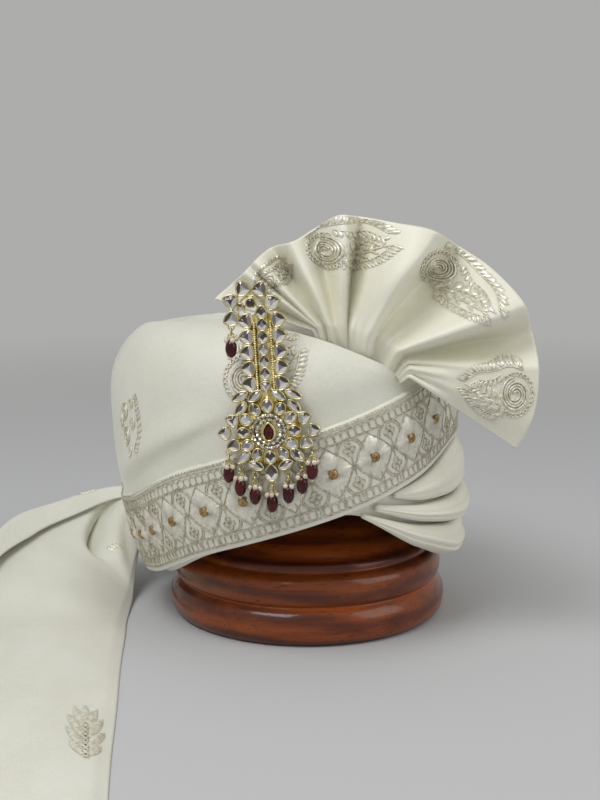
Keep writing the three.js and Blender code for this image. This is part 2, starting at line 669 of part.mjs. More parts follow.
// The brooch hangs in its own frame, upright and facing out of the front winding.
const brooch = new THREE.Group();
brooch.position.copy(BROOCH_AT);
brooch.rotation.set(radians(90 + BROOCH_LEAN), 0, radians(BROOCH_YAW), 'ZXY');
turban.add(brooch);
const face = new THREE.Group();
face.rotation.z = radians(BROOCH_ROLL);
brooch.add(face);
add('brooch_setting', broochSetting(), GILT, face);
add('ruby_centre', rubyCentre(), RED_GLASS, face);
DROPS.forEach(({ across, up }, i) => {
  const hanger = new THREE.Group();
  hanger.position.set(across, up, PLATE_THICK / 2).applyAxisAngle(new THREE.Vector3(0, 0, 1), face.rotation.z);
  brooch.add(hanger);
  const link = add(`drop_link_${i + 1}`, ringWire(LINK_RADIUS), GILT, hanger);
  link.rotation.y = Math.PI / 2;
  link.position.y = -LINK_DROP;
  add(`ruby_drop_${i + 1}`, rubyDrop(), RED_GLASS, hanger).position.y = -BEAD_DROP;
});

export default turban;
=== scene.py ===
"""An ivory wedding turban, tied ready to wear and set on its turned wooden stand: a wound drum, a smooth
front winding with an embroidered border, rolled side folds, a pleated fan, a free tail and a brooch."""

import bpy
import numpy as np
from mathutils import Euler, Matrix, Vector


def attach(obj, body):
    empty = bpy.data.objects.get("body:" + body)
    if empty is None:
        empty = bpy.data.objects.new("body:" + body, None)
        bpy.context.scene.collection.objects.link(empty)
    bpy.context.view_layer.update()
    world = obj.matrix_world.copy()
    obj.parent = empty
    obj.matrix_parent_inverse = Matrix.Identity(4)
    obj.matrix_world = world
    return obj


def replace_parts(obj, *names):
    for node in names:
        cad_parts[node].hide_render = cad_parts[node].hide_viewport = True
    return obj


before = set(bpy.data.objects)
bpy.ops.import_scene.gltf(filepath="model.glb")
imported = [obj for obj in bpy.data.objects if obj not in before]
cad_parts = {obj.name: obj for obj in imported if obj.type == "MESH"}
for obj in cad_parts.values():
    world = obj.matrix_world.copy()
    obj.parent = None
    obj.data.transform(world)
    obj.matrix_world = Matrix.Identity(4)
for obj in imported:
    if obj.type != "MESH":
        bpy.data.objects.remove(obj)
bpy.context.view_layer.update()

# The studio: a pale table top that fades into the grey air all round, one big soft light from the upper left,
# a weaker one from the right, and the camera a little above the brooch.


def mesh_object(name, points, faces, uv=None, flat=False):
    """A mesh from points in millimetres, with its cloth or grain coordinates in metres."""
    mesh = bpy.data.meshes.new(name)
    corner_lists = [list(map(int, face)) for face in faces]
    mesh.from_pydata((np.asarray(points, float) / 1000).tolist(), [], corner_lists)
    if uv is not None:
        corners = np.empty(len(mesh.loops), np.int32)
        mesh.loops.foreach_get("vertex_index", corners)
        layer = mesh.uv_layers.new(name="UVMap")
        layer.data.foreach_set("uv", np.asarray(uv, np.float32)[corners].ravel())
    mesh.polygons.foreach_set("use_smooth", [not flat] * len(mesh.polygons))
    mesh.update()
    piece = bpy.data.objects.new(name, mesh)
    bpy.context.scene.collection.objects.link(piece)
    return piece


def grid_faces(rows, columns, start=0, round_columns=False):
    """The quads of a grid of points, row by row."""
    across = columns if round_columns else columns - 1
    i, j = np.meshgrid(np.arange(rows - 1), np.arange(across), indexing="ij")
    k = (j + 1) % columns
    quads = np.stack([i * columns + j, i * columns + k, (i + 1) * columns + k, (i + 1) * columns + j], -1)
    return quads.reshape(-1, 4) + start


class Shade:
    """A socket of a material that can be added, multiplied and mixed like a number."""

    def __init__(self, tree, socket=None):
        self.tree = tree
        self.socket = socket

    def node(self, kind, inputs=None, output=0, **settings):
        made = self.tree.nodes.new(kind)
        for name, value in settings.items():
            setattr(made, name, value)
        for name, value in (inputs or {}).items():
            if isinstance(value, Shade):
                self.tree.links.new(value.socket, made.inputs[name])
            else:
                made.inputs[name].default_value = value
        return Shade(self.tree, made.outputs[output])

    def math(self, operation, *values):
        return self.node("ShaderNodeMath", dict(enumerate(values)), operation=operation)

    def __add__(self, other):
        return self.math("ADD", self, other)

    def __sub__(self, other):
        return self.math("SUBTRACT", self, other)

    def __rsub__(self, other):
        return self.math("SUBTRACT", other, self)

    def __mul__(self, other):
        return self.math("MULTIPLY", self, other)

    __radd__ = __add__
    __rmul__ = __mul__

    def wave(self, length):
        return self.math("SINE", self * (6.2832 / length)) * 0.5 + 0.5

    def between(self, low, high):
        inputs = {"Value": self, "From Min": low, "From Max": high}
        return self.node("ShaderNodeMapRange", inputs, interpolation_type="SMOOTHSTEP")

    def mix(self, low, high):
        return self.node("ShaderNodeMix", {0: self, 6: low, 7: high}, 2, data_type="RGBA")

    def scaled(self, *amounts):
        return self.node("ShaderNodeVectorMath", {0: self, 1: amounts}, operation="MULTIPLY")

    def noise(self, scale, detail=3.0):
        return self.node("ShaderNodeTexNoise", {"Vector": self, "Scale": scale, "Detail": detail})

    def bump(self, strength, distance):
        return self.node("ShaderNodeBump", {"Height": self, "Strength": strength, "Distance": distance})


def surface(name, **sockets):
    """A new material with its constant values set, and the two ends its varying ones are joined to."""
    material = bpy.data.materials.new(name)
    material.use_nodes = True
    shader = material.node_tree.nodes["Principled BSDF"]
    for socket, value in sockets.items():
        shader.inputs[socket.replace("_", " ")].default_value = value
    return material, Shade(material.node_tree), shader


def joined(shader, **values):
    """Joins varying values to a shader's sockets."""
    for socket, value in values.items():
        value.tree.links.new(value.socket, shader.inputs[socket.replace("_", " ")])


def area_light(name, place, target, size, power, colour):
    lamp = bpy.data.lights.new(name, "AREA")
    lamp.size = size
    lamp.energy = power
    lamp.color = colour
    holder = bpy.data.objects.new(name, lamp)
    holder.location = place
    holder.rotation_euler = (Vector(target) - Vector(place)).to_track_quat("-Z", "Y").to_euler()
    bpy.context.scene.collection.objects.link(holder)


AIR = (0.95, 0.945, 0.925)
AIR_STRENGTH = 0.44
FLOOR_REACH = 14000
FLOOR_TONE = (0.55, 0.555, 0.56, 1)
FLOOR_FADE = (0.35, 1.9)
BLACK = (0, 0, 0, 1)
floor_radii = np.concatenate([[5], np.geomspace(100, FLOOR_REACH, 24)])[:, None]
floor_turn = np.radians(np.arange(0, 360, 5))
floor_x, floor_y = floor_radii * np.cos(floor_turn), floor_radii * np.sin(floor_turn)
disc = np.stack([floor_x, floor_y, 0 * floor_radii * floor_turn], -1)
disc_faces = grid_faces(len(floor_radii), len(floor_turn), round_columns=True)
floor = mesh_object("studio_floor", disc.reshape(-1, 3), disc_faces)
paint, make, shader = surface("studio_paint", Roughness=0.9, Specular_IOR_Level=0.0, Emission_Strength=1.0)
spot = make.node("ShaderNodeTexCoord", output=3)
away = spot.node("ShaderNodeVectorMath", {0: spot}, 1, operation="LENGTH") + spot.noise(2.5) * 0.04
fade = away.between(*FLOOR_FADE)
air_tone = (*(AIR_STRENGTH * tone for tone in AIR), 1)
joined(shader, Base_Color=fade.mix(FLOOR_TONE, BLACK))
joined(shader, Emission_Color=fade.mix(BLACK, air_tone))
floor.data.materials.append(paint)

area_light("key_light", (-0.55, -0.75, 1.4), (-0.02, 0, 0.12), 0.8, 12.6, (0.98, 0.99, 1.0))
area_light("side_light", (1.1, -0.5, 0.8), (0, 0, 0.12), 0.9, 4.2, (1.0, 0.99, 0.96))
world = bpy.data.worlds.new("studio_air")
bpy.context.scene.world = world
world.use_nodes = True
world.node_tree.nodes["Background"].inputs["Color"].default_value = (*AIR, 1)
world.node_tree.nodes["Background"].inputs["Strength"].default_value = AIR_STRENGTH
bpy.context.scene.view_settings.view_transform = "Standard"

view = bpy.data.cameras.new("camera")
view.lens = 56.25
camera = bpy.data.objects.new("camera", view)
camera.location = (-0.0045, -0.784, 0.256)
camera.rotation_euler = (np.radians(81.1), 0, 0)
bpy.context.scene.collection.objects.link(camera)
bpy.context.scene.camera = camera

# The stand: one block of red hardwood turned on a lathe to two beads, a step and a domed middle, whose neck
# and head carry the turban from inside, stained and varnished to a high gloss.
STAND_HIGH = 174.5
TURNED = [
    (0, 0), (50, 0), (74, 0), (81, 0), (84, 1), (86.6, 4), (87.8, 8.5), (88, 12), (87.2, 16), (85.3, 19.5),
    (83.2, 21.7), (82.2, 22.7), (82.6, 23.4), (83.9, 25), (85.1, 28.5), (85.4, 32), (84.9, 35.5),
    (83.6, 38.6), (81.5, 41),
    (79.6, 42.2), (78.8, 42.9), (78.4, 44.4), (77.6, 46.6), (76.4, 47.8), (74.6, 48.2), (73.6, 48.5),
    (72.3, 49.6), (70.5, 52.5), (67.6, 56), (61, 62.6), (52, 69), (41, 75), (30, 80), (22, 85.5), (18, 92),
    (16, 110), (16, 136), (22, 143), (38, 153), (45, 160), (46, 163), (45, 167), (40, 171.5), (32, 173.6),
    (22, 174.5), (0, 174.5),
]  # fmt: skip


def spline(points, count):
    """A smooth line through points, sampled evenly between each pair."""
    points = np.asarray(points, float)
    padded = np.vstack([points[:1], points, points[-1:]])
    t = np.linspace(0, 1, count, endpoint=False)[:, None]
    a, b, c, d = (padded[i : len(padded) - 3 + i, None] for i in range(4))
    first, second = (c - a) / 2, (d - b) / 2
    cubic = 2 * b - 2 * c + first + second
    square = 3 * c - 3 * b - 2 * first - second
    smooth = cubic * t**3 + square * t**2 + first * t + b
    return np.vstack([smooth.reshape(-1, points.shape[1]), points[-1:]])


turned = spline(TURNED, 3)
turned[:, 0] = np.maximum(turned[:, 0], 0.02)
around = np.radians(np.arange(0, 360, 2.5))
levels = np.repeat(np.clip(turned[:, 1:], 0, STAND_HIGH), len(around), 1)
lathe = np.stack([turned[:, :1] * np.cos(around), turned[:, :1] * np.sin(around), levels], -1)
lathe_faces = grid_faces(len(turned), len(around), round_columns=True)
stand = mesh_object("stand_turned", lathe.reshape(-1, 3), lathe_faces)
slope = np.gradient(np.unwrap(np.arctan2(*np.gradient(turned, axis=0).T)))
hollow = np.convolve(np.clip(-slope * 2.2, 0, 1), np.ones(5) / 3, "same").clip(0, 1)
crest = np.convolve(np.clip(slope * 1.4, 0, 1), np.ones(5) / 4, "same").clip(0, 1)
for name, values in (("hollow", hollow), ("crest", crest)):
    attribute = stand.data.attributes.new(name, "FLOAT", "POINT")
    attribute.data.foreach_set("value", np.repeat(values, len(around)))
wood, make, shader = surface("varnished_wood", Coat_Weight=0.6, Coat_Roughness=0.13, Specular_IOR_Level=0.2)
place = make.node("ShaderNodeTexCoord", output=3)
wander = place.scaled(5, 9, 26).noise(1, 2)
rings_grain = (place.node("ShaderNodeSeparateXYZ", {0: place}, 2) + wander * 0.035).wave(0.0125)
streaks = place.scaled(9, 120, 210).noise(1.0, 5)
pores = place.scaled(30, 700, 900).noise(1.0, 2).between(0.57, 0.7)
grain = (rings_grain * 0.35 + streaks * 0.75).between(0.25, 0.85)
worn = make.node("ShaderNodeAttribute", output=2, attribute_name="crest") * 0.35
groove_darkening = make.node("ShaderNodeAttribute", output=2, attribute_name="hollow")
tone = grain.mix((0.11, 0.016, 0.001, 1), (0.36, 0.076, 0.006, 1))
tone = (pores * 0.55).mix(tone, (0.03, 0.006, 0.003, 1))
tone = worn.mix(tone, (0.4, 0.1, 0.014, 1))
# Darker in the grooves of the turning, by the profile's hollowness.
tone = (groove_darkening * 0.75).mix(tone, (0.022, 0.005, 0.003, 1))
joined(shader, Base_Color=tone, Roughness=streaks * 0.2 + 0.3)
joined(shader, Normal=(grain - pores * 0.5).bump(0.12, 0.0004))
stand.data.materials.append(wood)
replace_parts(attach(stand, "root"), "stand")

# The drum: many turns of one long ivory satin cloth wound over one another on a stiff cap and pulled tight,
# with the turns' edges showing round the back and a sunken top where the last are gathered to the middle.
MIDDLE = (-15, 5)
HALF_LENGTH, HALF_BREADTH, FRONT = 121, 107, -72
ROUND = (HALF_LENGTH + HALF_BREADTH) / 2
DRUM_WALL = 7
LEFT_SIDE, RIGHT_SIDE, LOW_SIDE = -170, 5, 135
TOP_DROP = 10
TURN_WIDTH, TURN_EDGE, GATHER = 21, 2.4, 0.9
CLOTH_PER_DEGREE = 0.0019
# Height and spread of the drum's sections.
SECTIONS = [
    (22, 0.8), (45, 0.88), (75, 0.955), (110, 0.995), (145, 1.0), (163, 0.975), (177, 0.9), (185, 0.78),
    (187.5, 0.6), (186.5, 0.4), (185, 0.2), (184.5, 0.06),
]  # fmt: skip
# Azimuth, rim height and height of the border's lower edge.
EDGES = [
    (-180, 38, 28), (-147, 35, 36.5), (-110, 60, 62.5), (-72, 85, 88.2), (-50, 66, 103), (-25, 54, 117),
    (10, 52, 118), (60, 48, 100), (110, 44, 74), (150, 42, 48),
]  # fmt: skip

section = spline([(spread * ROUND, height) for height, spread in SECTIONS], 40)
section_run = np.concatenate([[0], np.cumsum(np.linalg.norm(np.diff(section, axis=0), axis=1))])
RUN = section_run[-1]
section_run = section_run / RUN
section_slope = np.gradient(section, axis=0)
section_slope /= np.linalg.norm(section_slope, axis=1)[:, None]
peak = int(section[:, 1].argmax())


def curve(at, knots, values):
    """Smooth values between the rows of a table, with no overshoot."""
    knots, values = np.asarray(knots, float), np.asarray(values, float)
    if knots[0] > knots[-1]:
        knots, values = knots[::-1], values[::-1]
    width = np.diff(knots)
    slope = np.diff(values) / width
    tangent = np.concatenate([slope[:1], np.zeros(len(slope) - 1), slope[-1:]])
    both = slope[:-1] * slope[1:]
    total = np.where(both > 0, slope[:-1] + slope[1:], 1)
    tangent[1:-1] = np.where(both > 0, 2 * both / total, 0)
    at = np.clip(at, knots[0], knots[-1])
    i = np.clip(np.searchsorted(knots, at, side="right") - 1, 0, len(width) - 1)
    t = (at - knots[i]) / width[i]
    start, end = tangent[i] * width[i], tangent[i + 1] * width[i]
    ends = (2 * t**3 - 3 * t**2 + 1) * values[i] + (3 * t**2 - 2 * t**3) * values[i + 1]
    return ends + (t**3 - 2 * t**2 + t) * start + (t**3 - t**2) * end


def step(at, low, high):
    t = np.clip((np.asarray(at, float) - low) / (high - low), 0, 1)
    return t * t * (3 - 2 * t)


def edge_height(azimuth, column):
    rows = np.array(EDGES, float)
    turned_rows = np.vstack([rows - [360, 0, 0], rows, rows + [360, 0, 0]])
    return curve((np.asarray(azimuth) + 180) % 360 - 180, turned_rows[:, 0], turned_rows[:, column])


def along_at(height):
    return np.interp(height, section[: peak + 1, 1], section_run[: peak + 1])


def oval(azimuth):
    angle = np.radians(np.asarray(azimuth, float) - FRONT)
    return 1 / np.hypot(np.cos(angle) / HALF_LENGTH, np.sin(angle) / HALF_BREADTH)


def drum(azimuth, along, lift=0.0):
    """Points on the drum, or a lift off it, from the azimuth and the share of the way up its section."""
    azimuth, along, lift = np.broadcast_arrays(np.asarray(azimuth, float), along, lift)
    spread, height = (np.interp(along, section_run, section[:, i]) for i in (0, 1))
    inward, upward = (np.interp(along, section_run, section_slope[:, i]) for i in (0, 1))
    turn = np.radians(azimuth)
    sides = (LEFT_SIDE, RIGHT_SIDE)
    left, right = ((0.5 + 0.5 * np.cos(turn - np.radians(side))) ** 3 for side in sides)
    kept = 1 - left * (0.06 - 0.03 * step(height, 45, 115)) - 0.055 * right * step(height, 85, 115)
    radius = oval(azimuth) * kept * spread / ROUND + lift * upward
    low_side = (0.5 + 0.5 * np.cos(turn - np.radians(LOW_SIDE))) ** 2
    drop = TOP_DROP * low_side * spread / ROUND * step(height, 110, 180)
    x, y = MIDDLE[0] + radius * np.cos(turn), MIDDLE[1] + radius * np.sin(turn)
    return np.stack([x, y, height - drop - lift * inward], -1)


def cloth_uv(azimuths, alongs):
    """Cloth coordinates in metres, round the drum and up its section."""
    return np.stack([np.broadcast_to(azimuths * CLOTH_PER_DEGREE, alongs.shape), alongs * RUN / 1000], -1)


def slab(front, back):
    """A closed wall between two grids of points, and its faces."""
    rows, columns = front.shape[:2]
    points = np.vstack([front.reshape(-1, 3), back.reshape(-1, 3)])
    ids = np.arange(rows * columns).reshape(rows, columns)
    edge = np.concatenate([ids[0, :-1], ids[:-1, -1], ids[-1, :0:-1], ids[:0:-1, 0]])
    after = np.roll(edge, -1)
    rim = np.stack([after, edge, edge + rows * columns, after + rows * columns], -1)
    back_faces = grid_faces(rows, columns, rows * columns)[:, ::-1]
    return points, np.vstack([grid_faces(rows, columns), back_faces, rim])


def satin(name, dark, light):
    """Fine ivory satin: a close diagonal weave with slubs, a soft sheen and a little unevenness of colour."""
    material, make, shader = surface(
        name, Sheen_Weight=0.25, Sheen_Roughness=0.35, Specular_IOR_Level=0.55, Anisotropic=0.35
    )
    cloth = make.node("ShaderNodeUVMap", uv_map="UVMap")
    parts = [make.node("ShaderNodeSeparateXYZ", {0: cloth}, i) for i in (0, 1)]
    twill = (parts[0] + parts[1] * 0.6).wave(0.00062) * (parts[1] - parts[0] * 0.3).wave(0.00048)
    slubs = cloth.scaled(220, 1900, 1).noise(1.0, 2) * 0.6 + cloth.scaled(1700, 260, 1).noise(1.0, 2) * 0.6
    cloudy = cloth.noise(22, 3)
    tone = cloudy.between(0.3, 0.75).mix(dark, light)
    speckle = cloth.noise(1500, 2).between(0.52, 0.72) * 0.35
    tone = (slubs.between(0.45, 0.85) * 0.3 + speckle).mix(tone, (0.9, 0.895, 0.825, 1))
    rough = 0.42 - twill * 0.12 + slubs * 0.06
    weave = twill * 0.5 + slubs + cloth.noise(1100, 2)
    joined(shader, Base_Color=tone, Roughness=rough, Normal=weave.bump(0.3, 0.00025))
    return material


def cloth_piece(name, points, faces, uv, material, slot, *nodes):
    """A piece of cloth that rides with the turban and stands for its solids."""
    piece = mesh_object(name, points, faces, uv)
    piece.data.materials.append(material)
    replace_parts(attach(piece, "root"), *nodes)
    return piece


ivory = satin("ivory_satin", (0.7, 0.695, 0.59, 1), (0.77, 0.767, 0.675, 1))
# A lighter, yellower copy of the same ivory satin for the fan and the side folds: the brighter light on the
# fan and the warm bounce light in the folds are painted into its colour.
painted_light_satin = satin("painted_light_satin", (0.8, 0.78, 0.63, 1), (0.87, 0.855, 0.725, 1))
azimuths = np.linspace(-180, 180, 241)[:-1]
shares = np.concatenate([np.linspace(0, 0.45, 40), np.linspace(0.46, 1, 56)])
rims = along_at(edge_height(azimuths, 1))
alongs = rims + (1 - rims) * shares[:, None]
tall = np.interp(alongs, section_run, section[:, 1])
turns = alongs * RUN / TURN_WIDTH + azimuths / 360
turns = turns + 0.13 * np.sin(np.radians(azimuths * 2 + 40)) + 0.05 * np.sin(alongs * 40)
part = turns % 1
turn_edges = (1 - part) ** 0.8 * step(part, 0, 0.07)
free = step(tall, 94, 104) * np.where(azimuths < 0, step(alongs, 0.69, 0.74), step(azimuths, 0, 8))
gathers = np.sin(np.radians(azimuths * 17) + alongs * 22) * step(alongs, 0.74, 0.86)
gathers = gathers * (1 - step(alongs, 0.95, 1))
lifts = free * (TURN_EDGE * turn_edges + GATHER * gathers)
outside = drum(azimuths, alongs, lifts)
inside = drum(azimuths, alongs, -DRUM_WALL)
rows, columns = alongs.shape
layers = [inside[::-1].reshape(-1, 3), outside.reshape(-1, 3)]
points = np.vstack([*layers, inside[-1].mean(0), outside[-1].mean(0)])
last = 2 * rows * columns
ring = np.arange(columns)
caps = [(last, (i + 1) % columns, i) for i in ring]
caps += [(last + 1, last - columns + i, last - columns + (i + 1) % columns) for i in ring]
uv = cloth_uv(azimuths, alongs)
uv = np.vstack([uv[::-1].reshape(-1, 2), uv.reshape(-1, 2), [[0, 0.3], [0, 0.3]]])
faces = [tuple(f) for f in grid_faces(2 * rows, columns, round_columns=True)] + caps
crown = cloth_piece("crown_windings", points, faces, uv, ivory, "ivory_cloth", "crown_wrap")

# The front winding: the last, smooth turn of the cloth, drawn from the right over the fan's root and round
# the left to the back. Its upper edge is folded under; one tension crease runs from the brooch to the left.
LAYER = 1.5
WRAP_THICK = 2.2
WRAP_ENDS = (-230, 0)
BORDER_WIDTH = 50
LIP = 4.6
CREASE_HIGH, CREASE_RUN, CREASE_RISE = 3.4, 121, 66
# Azimuth, height of the upper edge, and how far it stands off the drum.
WRAP_TOP = [
    (-240, 176, 0), (-180, 184, 0), (-120, 186.5, 0), (-96, 185, 0.2), (-80, 179.5, 0.5), (-58, 164, 0.4),
    (-44, 153, 0.1), (-25, 148, 0), (6, 147, 0),
]  # fmt: skip
wrap_top = np.array(WRAP_TOP, float)


def border_low(azimuth):
    return along_at(edge_height(azimuth, 2))


def border_slope(azimuth):
    return (border_low(azimuth + 2) - border_low(azimuth - 2)) * RUN / (oval(azimuth) * np.radians(4))


def border_high(azimuth):
    return border_low(azimuth) + BORDER_WIDTH * np.hypot(1, border_slope(azimuth)) / RUN


def wrap_along(azimuth, v):
    low = border_low(azimuth) + 0.006
    top = along_at(curve(azimuth, wrap_top[:, 0], wrap_top[:, 1]))
    top = np.maximum(top, border_high(azimuth) + 0.02)
    return low + (top - low) * v


def wrap_lift(azimuth, along, v):
    """How far the winding's back stands off the drum, with its raised edge, crease and soft waves."""
    border = border_high(azimuth)
    start = (border - wrap_along(azimuth, 0)) / (wrap_along(azimuth, 1) - wrap_along(azimuth, 0))
    lip = LIP * curve(azimuth, wrap_top[:, 0], wrap_top[:, 2])
    lip = lip * step((v - start - 0.08) / (0.92 - start), 0, 1)
    across, up = (azimuth + 165) * 1.95, along * RUN - along_at(80) * RUN
    run = np.hypot(CREASE_RUN, CREASE_RISE)
    down_line = (across * CREASE_RUN + up * CREASE_RISE) / run
    off_line = (up * CREASE_RUN - across * CREASE_RISE) / run
    crease = CREASE_HIGH * np.exp(-np.where(off_line > 0, (off_line / 11) ** 2, (off_line / 4.5) ** 2))
    crease *= step(down_line, -12, 25) * (1 - step(down_line, 95, 150))
    slack = 1.1 * np.sin(azimuth * 0.085 + along * 9) * np.sin(along * 17 - azimuth * 0.03) + 1.1
    slack += 1.8 * np.exp(-(((azimuth + 150) / 22) ** 2)) * np.exp(-(((along - 0.62) / 0.05) ** 2))
    above = step(along - border, 0.01, 0.09) * (1 - step(v, 0.9, 1) * step(azimuth, -110, -90))
    return LAYER + lip + above * (crease + 0.55 * slack)


def rounding(v, width):
    """A cloth's thickness, rounded off at its two edges."""
    near = np.clip(np.minimum(v, 1 - v) / width, 0, 1)
    return np.sqrt(1 - (1 - near) ** 2) * 0.92 + 0.08


azimuths = np.linspace(*WRAP_ENDS, 300)[:, None]
v = np.sin(np.linspace(-np.pi / 2, np.pi / 2, 90)) * 0.5 + 0.5
alongs = wrap_along(azimuths, v)
lifts = wrap_lift(azimuths, alongs, v)
run_share = (azimuths - WRAP_ENDS[0]) / (WRAP_ENDS[1] - WRAP_ENDS[0])
thick = WRAP_THICK * rounding(v, 0.015) * rounding(run_share, 0.01)
middle = lifts + WRAP_THICK / 2
points, faces = slab(drum(azimuths, alongs, middle + thick / 2), drum(azimuths, alongs, middle - thick / 2))
uv = cloth_uv(azimuths, alongs).reshape(-1, 2)
wrap = cloth_piece("front_winding", points, faces, np.vstack([uv, uv]), ivory, "ivory_cloth", "front_wrap")

# The border: a strip of the cloth's embroidered end, turned over the front winding's lower edge. Above its
# plain hem, two rows of loops frame padded satin-stitch flowers with domed gilt sequins, scallops and rings.
BORDER_THICK = 1.6
BORDER_LIFT = 4.5
BORDER_SUNK = 1.3
BORDER_ENDS = (-200, 70)
PITCH = 26
FIRST_FLOWER = -73.2
FLOWER_UP, SEQUIN_UP = 25, 1.35
LOOP_PITCH = 4.35
# Height above the hem and thickness of each couched cord.
BORDER_CORDS = [(3.1, 0.34), (9.6, 0.3), (39.9, 0.3), (46.2, 0.34), (47.6, 0.3)]


def on_border(azimuth, flat):
    """Points in millimetres along, up from the hem and off the cloth, laid on the border at an azimuth."""
    x, y, height = np.moveaxis(np.asarray(flat, float), -1, 0)
    slope = border_slope(azimuth)
    size = np.hypot(1, slope)
    turn = azimuth + np.degrees((x - y * slope) / size / oval(azimuth))
    along = border_low(azimuth) + (x * slope + y) / size / RUN
    return drum(turn, along, BORDER_LIFT + BORDER_THICK + height)


def threads(paths, radius, sides=4):
    """Round threads along paths of one length, with drawn-in ends."""
    paths = np.asarray(paths, float)
    count, length = paths.shape[:2]
    run = np.gradient(paths, axis=1)
    side = np.stack([-run[..., 1], run[..., 0], 0 * run[..., 0]], -1)
    side /= np.maximum(np.linalg.norm(side, axis=-1, keepdims=True), 1e-9)
    turn = np.radians(np.arange(sides) * 360 / sides + 90)
    ends = (np.arange(length) == 0) | (np.arange(length) == length - 1)
    size = radius * np.where(ends, 0.5, 1)[:, None, None]
    ring = size * (side[:, :, None] * np.cos(turn)[:, None] + np.array([0, 0, 1]) * np.sin(turn)[:, None])
    points = (paths[:, :, None] + ring).reshape(-1, 3)
    faces = grid_faces(length, sides, round_columns=True)
    starts = np.arange(count)[:, None, None] * length * sides
    return points, (faces + starts).reshape(-1, 4)


def merged(parts):
    """One set of points and faces from many."""
    starts = np.cumsum([0] + [len(points) for points, _ in parts[:-1]])
    shifted = [faces + start for (_, faces), start in zip(parts, starts)]
    return np.vstack([points for points, _ in parts]), np.vstack(shifted)


def circle(x, y, radius, height, count=12, start=0, end=360, squash=1.0):
    angle = np.radians(np.linspace(start, end, count + 1))
    return np.stack([x + radius * np.cos(angle), y + squash * radius * np.sin(angle), 0 * angle + height], -1)


def line(*corners, count=6, height=0.3):
    """A straight-run path through corners, with even steps."""
    corners = np.array(corners, float)
    share = np.linspace(0, len(corners) - 1, count)
    path = [np.interp(share, np.arange(len(corners)), corners[:, i]) for i in (0, 1)]
    return np.stack([*path, 0 * share + height], -1)


def satin_flower(wide, tall, ridges=56, rings=9):
    """A padded four-petal flower whose stitches run from the middle to the edge, each one a low ridge."""
    angle = np.radians(np.linspace(0, 360, ridges * 2 + 1)[:-1])
    cosine, sine = np.abs(np.cos(angle)), np.abs(np.sin(angle))
    reach = 1 / (cosine / wide + sine / tall) * (1 + 0.1 * np.abs(np.sin(2 * angle)))
    share = np.linspace(0.1, 1, rings)[:, None]
    pad = np.sin(np.pi * np.clip(share, 0, 1) ** 0.8) ** 0.7 * 1.15
    petal = 0.55 + 0.45 * np.cos(4 * angle)
    ridge = np.where(np.arange(ridges * 2) % 2, 0.34, -0.16)
    height = 0.12 + 1.5 * pad * petal + ridge * np.minimum(1, share * 2.2)
    reach = reach * (1 + 0.03 * np.sin(angle * 23))
    points = np.stack([share * reach * np.cos(angle), share * reach * np.sin(angle), height], -1)
    return points.reshape(-1, 3), grid_faces(rings, ridges * 2, round_columns=True)


def dome(radius, height, rings=5, sides=16):
    angle = np.radians(np.arange(sides) * 360 / sides)
    lean = np.radians(np.linspace(0, 82, rings))[:, None]
    out = radius * np.cos(lean)
    points = np.stack([out * np.cos(angle), out * np.sin(angle), height * np.sin(lean) + 0 * angle], -1)
    return points.reshape(-1, 3), grid_faces(rings, sides, round_columns=True)


def stitched(name, parts, material):
    """One joined mesh of needlework, which rides with the cloth it is worked on."""
    points, faces = merged(parts)
    piece = mesh_object(name, points, faces)
    piece.data.materials.append(material)
    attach(piece, "root")


def thread_material(name, dark, light, **sockets):
    """Drawn thread: tone and roughness vary from stitch to stitch along the piece."""
    material, make, shader = surface(name, **sockets)
    place = make.node("ShaderNodeTexCoord", output=3)
    patch = place.noise(420, 2)
    twist = place.noise(2600, 1)
    joined(shader, Base_Color=(patch * 0.7 + twist * 0.3).between(0.3, 0.7).mix(dark, light))
    joined(shader, Roughness=twist * 0.25 + 0.25, Normal=twist.bump(0.3, 0.0001))
    return material


azimuths = np.linspace(*BORDER_ENDS, 340)[:, None]
v = np.sin(np.linspace(-np.pi / 2, np.pi / 2, 36)) * 0.5 + 0.5
alongs = border_low(azimuths) + (border_high(azimuths) - border_low(azimuths)) * v
run_share = (azimuths - BORDER_ENDS[0]) / (BORDER_ENDS[1] - BORDER_ENDS[0])
thick = BORDER_THICK * rounding(v, 0.02) * rounding(run_share, 0.004)
middle = BORDER_LIFT + BORDER_THICK / 2 - BORDER_SUNK * step(v, 0.955, 1)
points, faces = slab(drum(azimuths, alongs, middle + thick / 2), drum(azimuths, alongs, middle - thick / 2))
uv = cloth_uv(azimuths, alongs).reshape(-1, 2)
border = cloth_piece(
    "border_strip", points, faces, np.vstack([uv, uv]), ivory, "embroidered_border", "border_band"
)

fine = np.arange(BORDER_ENDS[0] - 2, BORDER_ENDS[1] + 2, 0.5)
mid_line = drum(fine, border_low(fine) + 26 * np.hypot(1, border_slope(fine)) / RUN, 6)
arc = np.concatenate([[0], np.cumsum(np.linalg.norm(np.diff(mid_line, axis=0), axis=1))])
first = np.interp(FIRST_FLOWER, fine, arc)
low_arc, high_arc = (np.interp(end, fine, arc) for end in BORDER_ENDS)


def spots(pitch, phase=0.0, margin=3.0):
    """Azimuths of the repeats of a row along the border."""
    start = np.ceil((low_arc + margin - first) / pitch - phase)
    end = np.floor((high_arc - margin - first) / pitch - phase)
    return np.interp(first + (np.arange(start, end + 1) + phase) * pitch, arc, fine)


floss = thread_material(
    "satin_floss", (0.74, 0.71, 0.58, 1), (0.95, 0.93, 0.83, 1), Metallic=0.25, Specular_IOR_Level=0.9
)
zari = thread_material(
    "silver_zari", (0.4, 0.36, 0.26, 1), (0.78, 0.73, 0.6, 1), Metallic=0.3, Specular_IOR_Level=0.7
)
gilt_sequin = thread_material("gilt_sequin", (0.24, 0.14, 0.05, 1), (0.56, 0.4, 0.19, 1), Metallic=0.85)

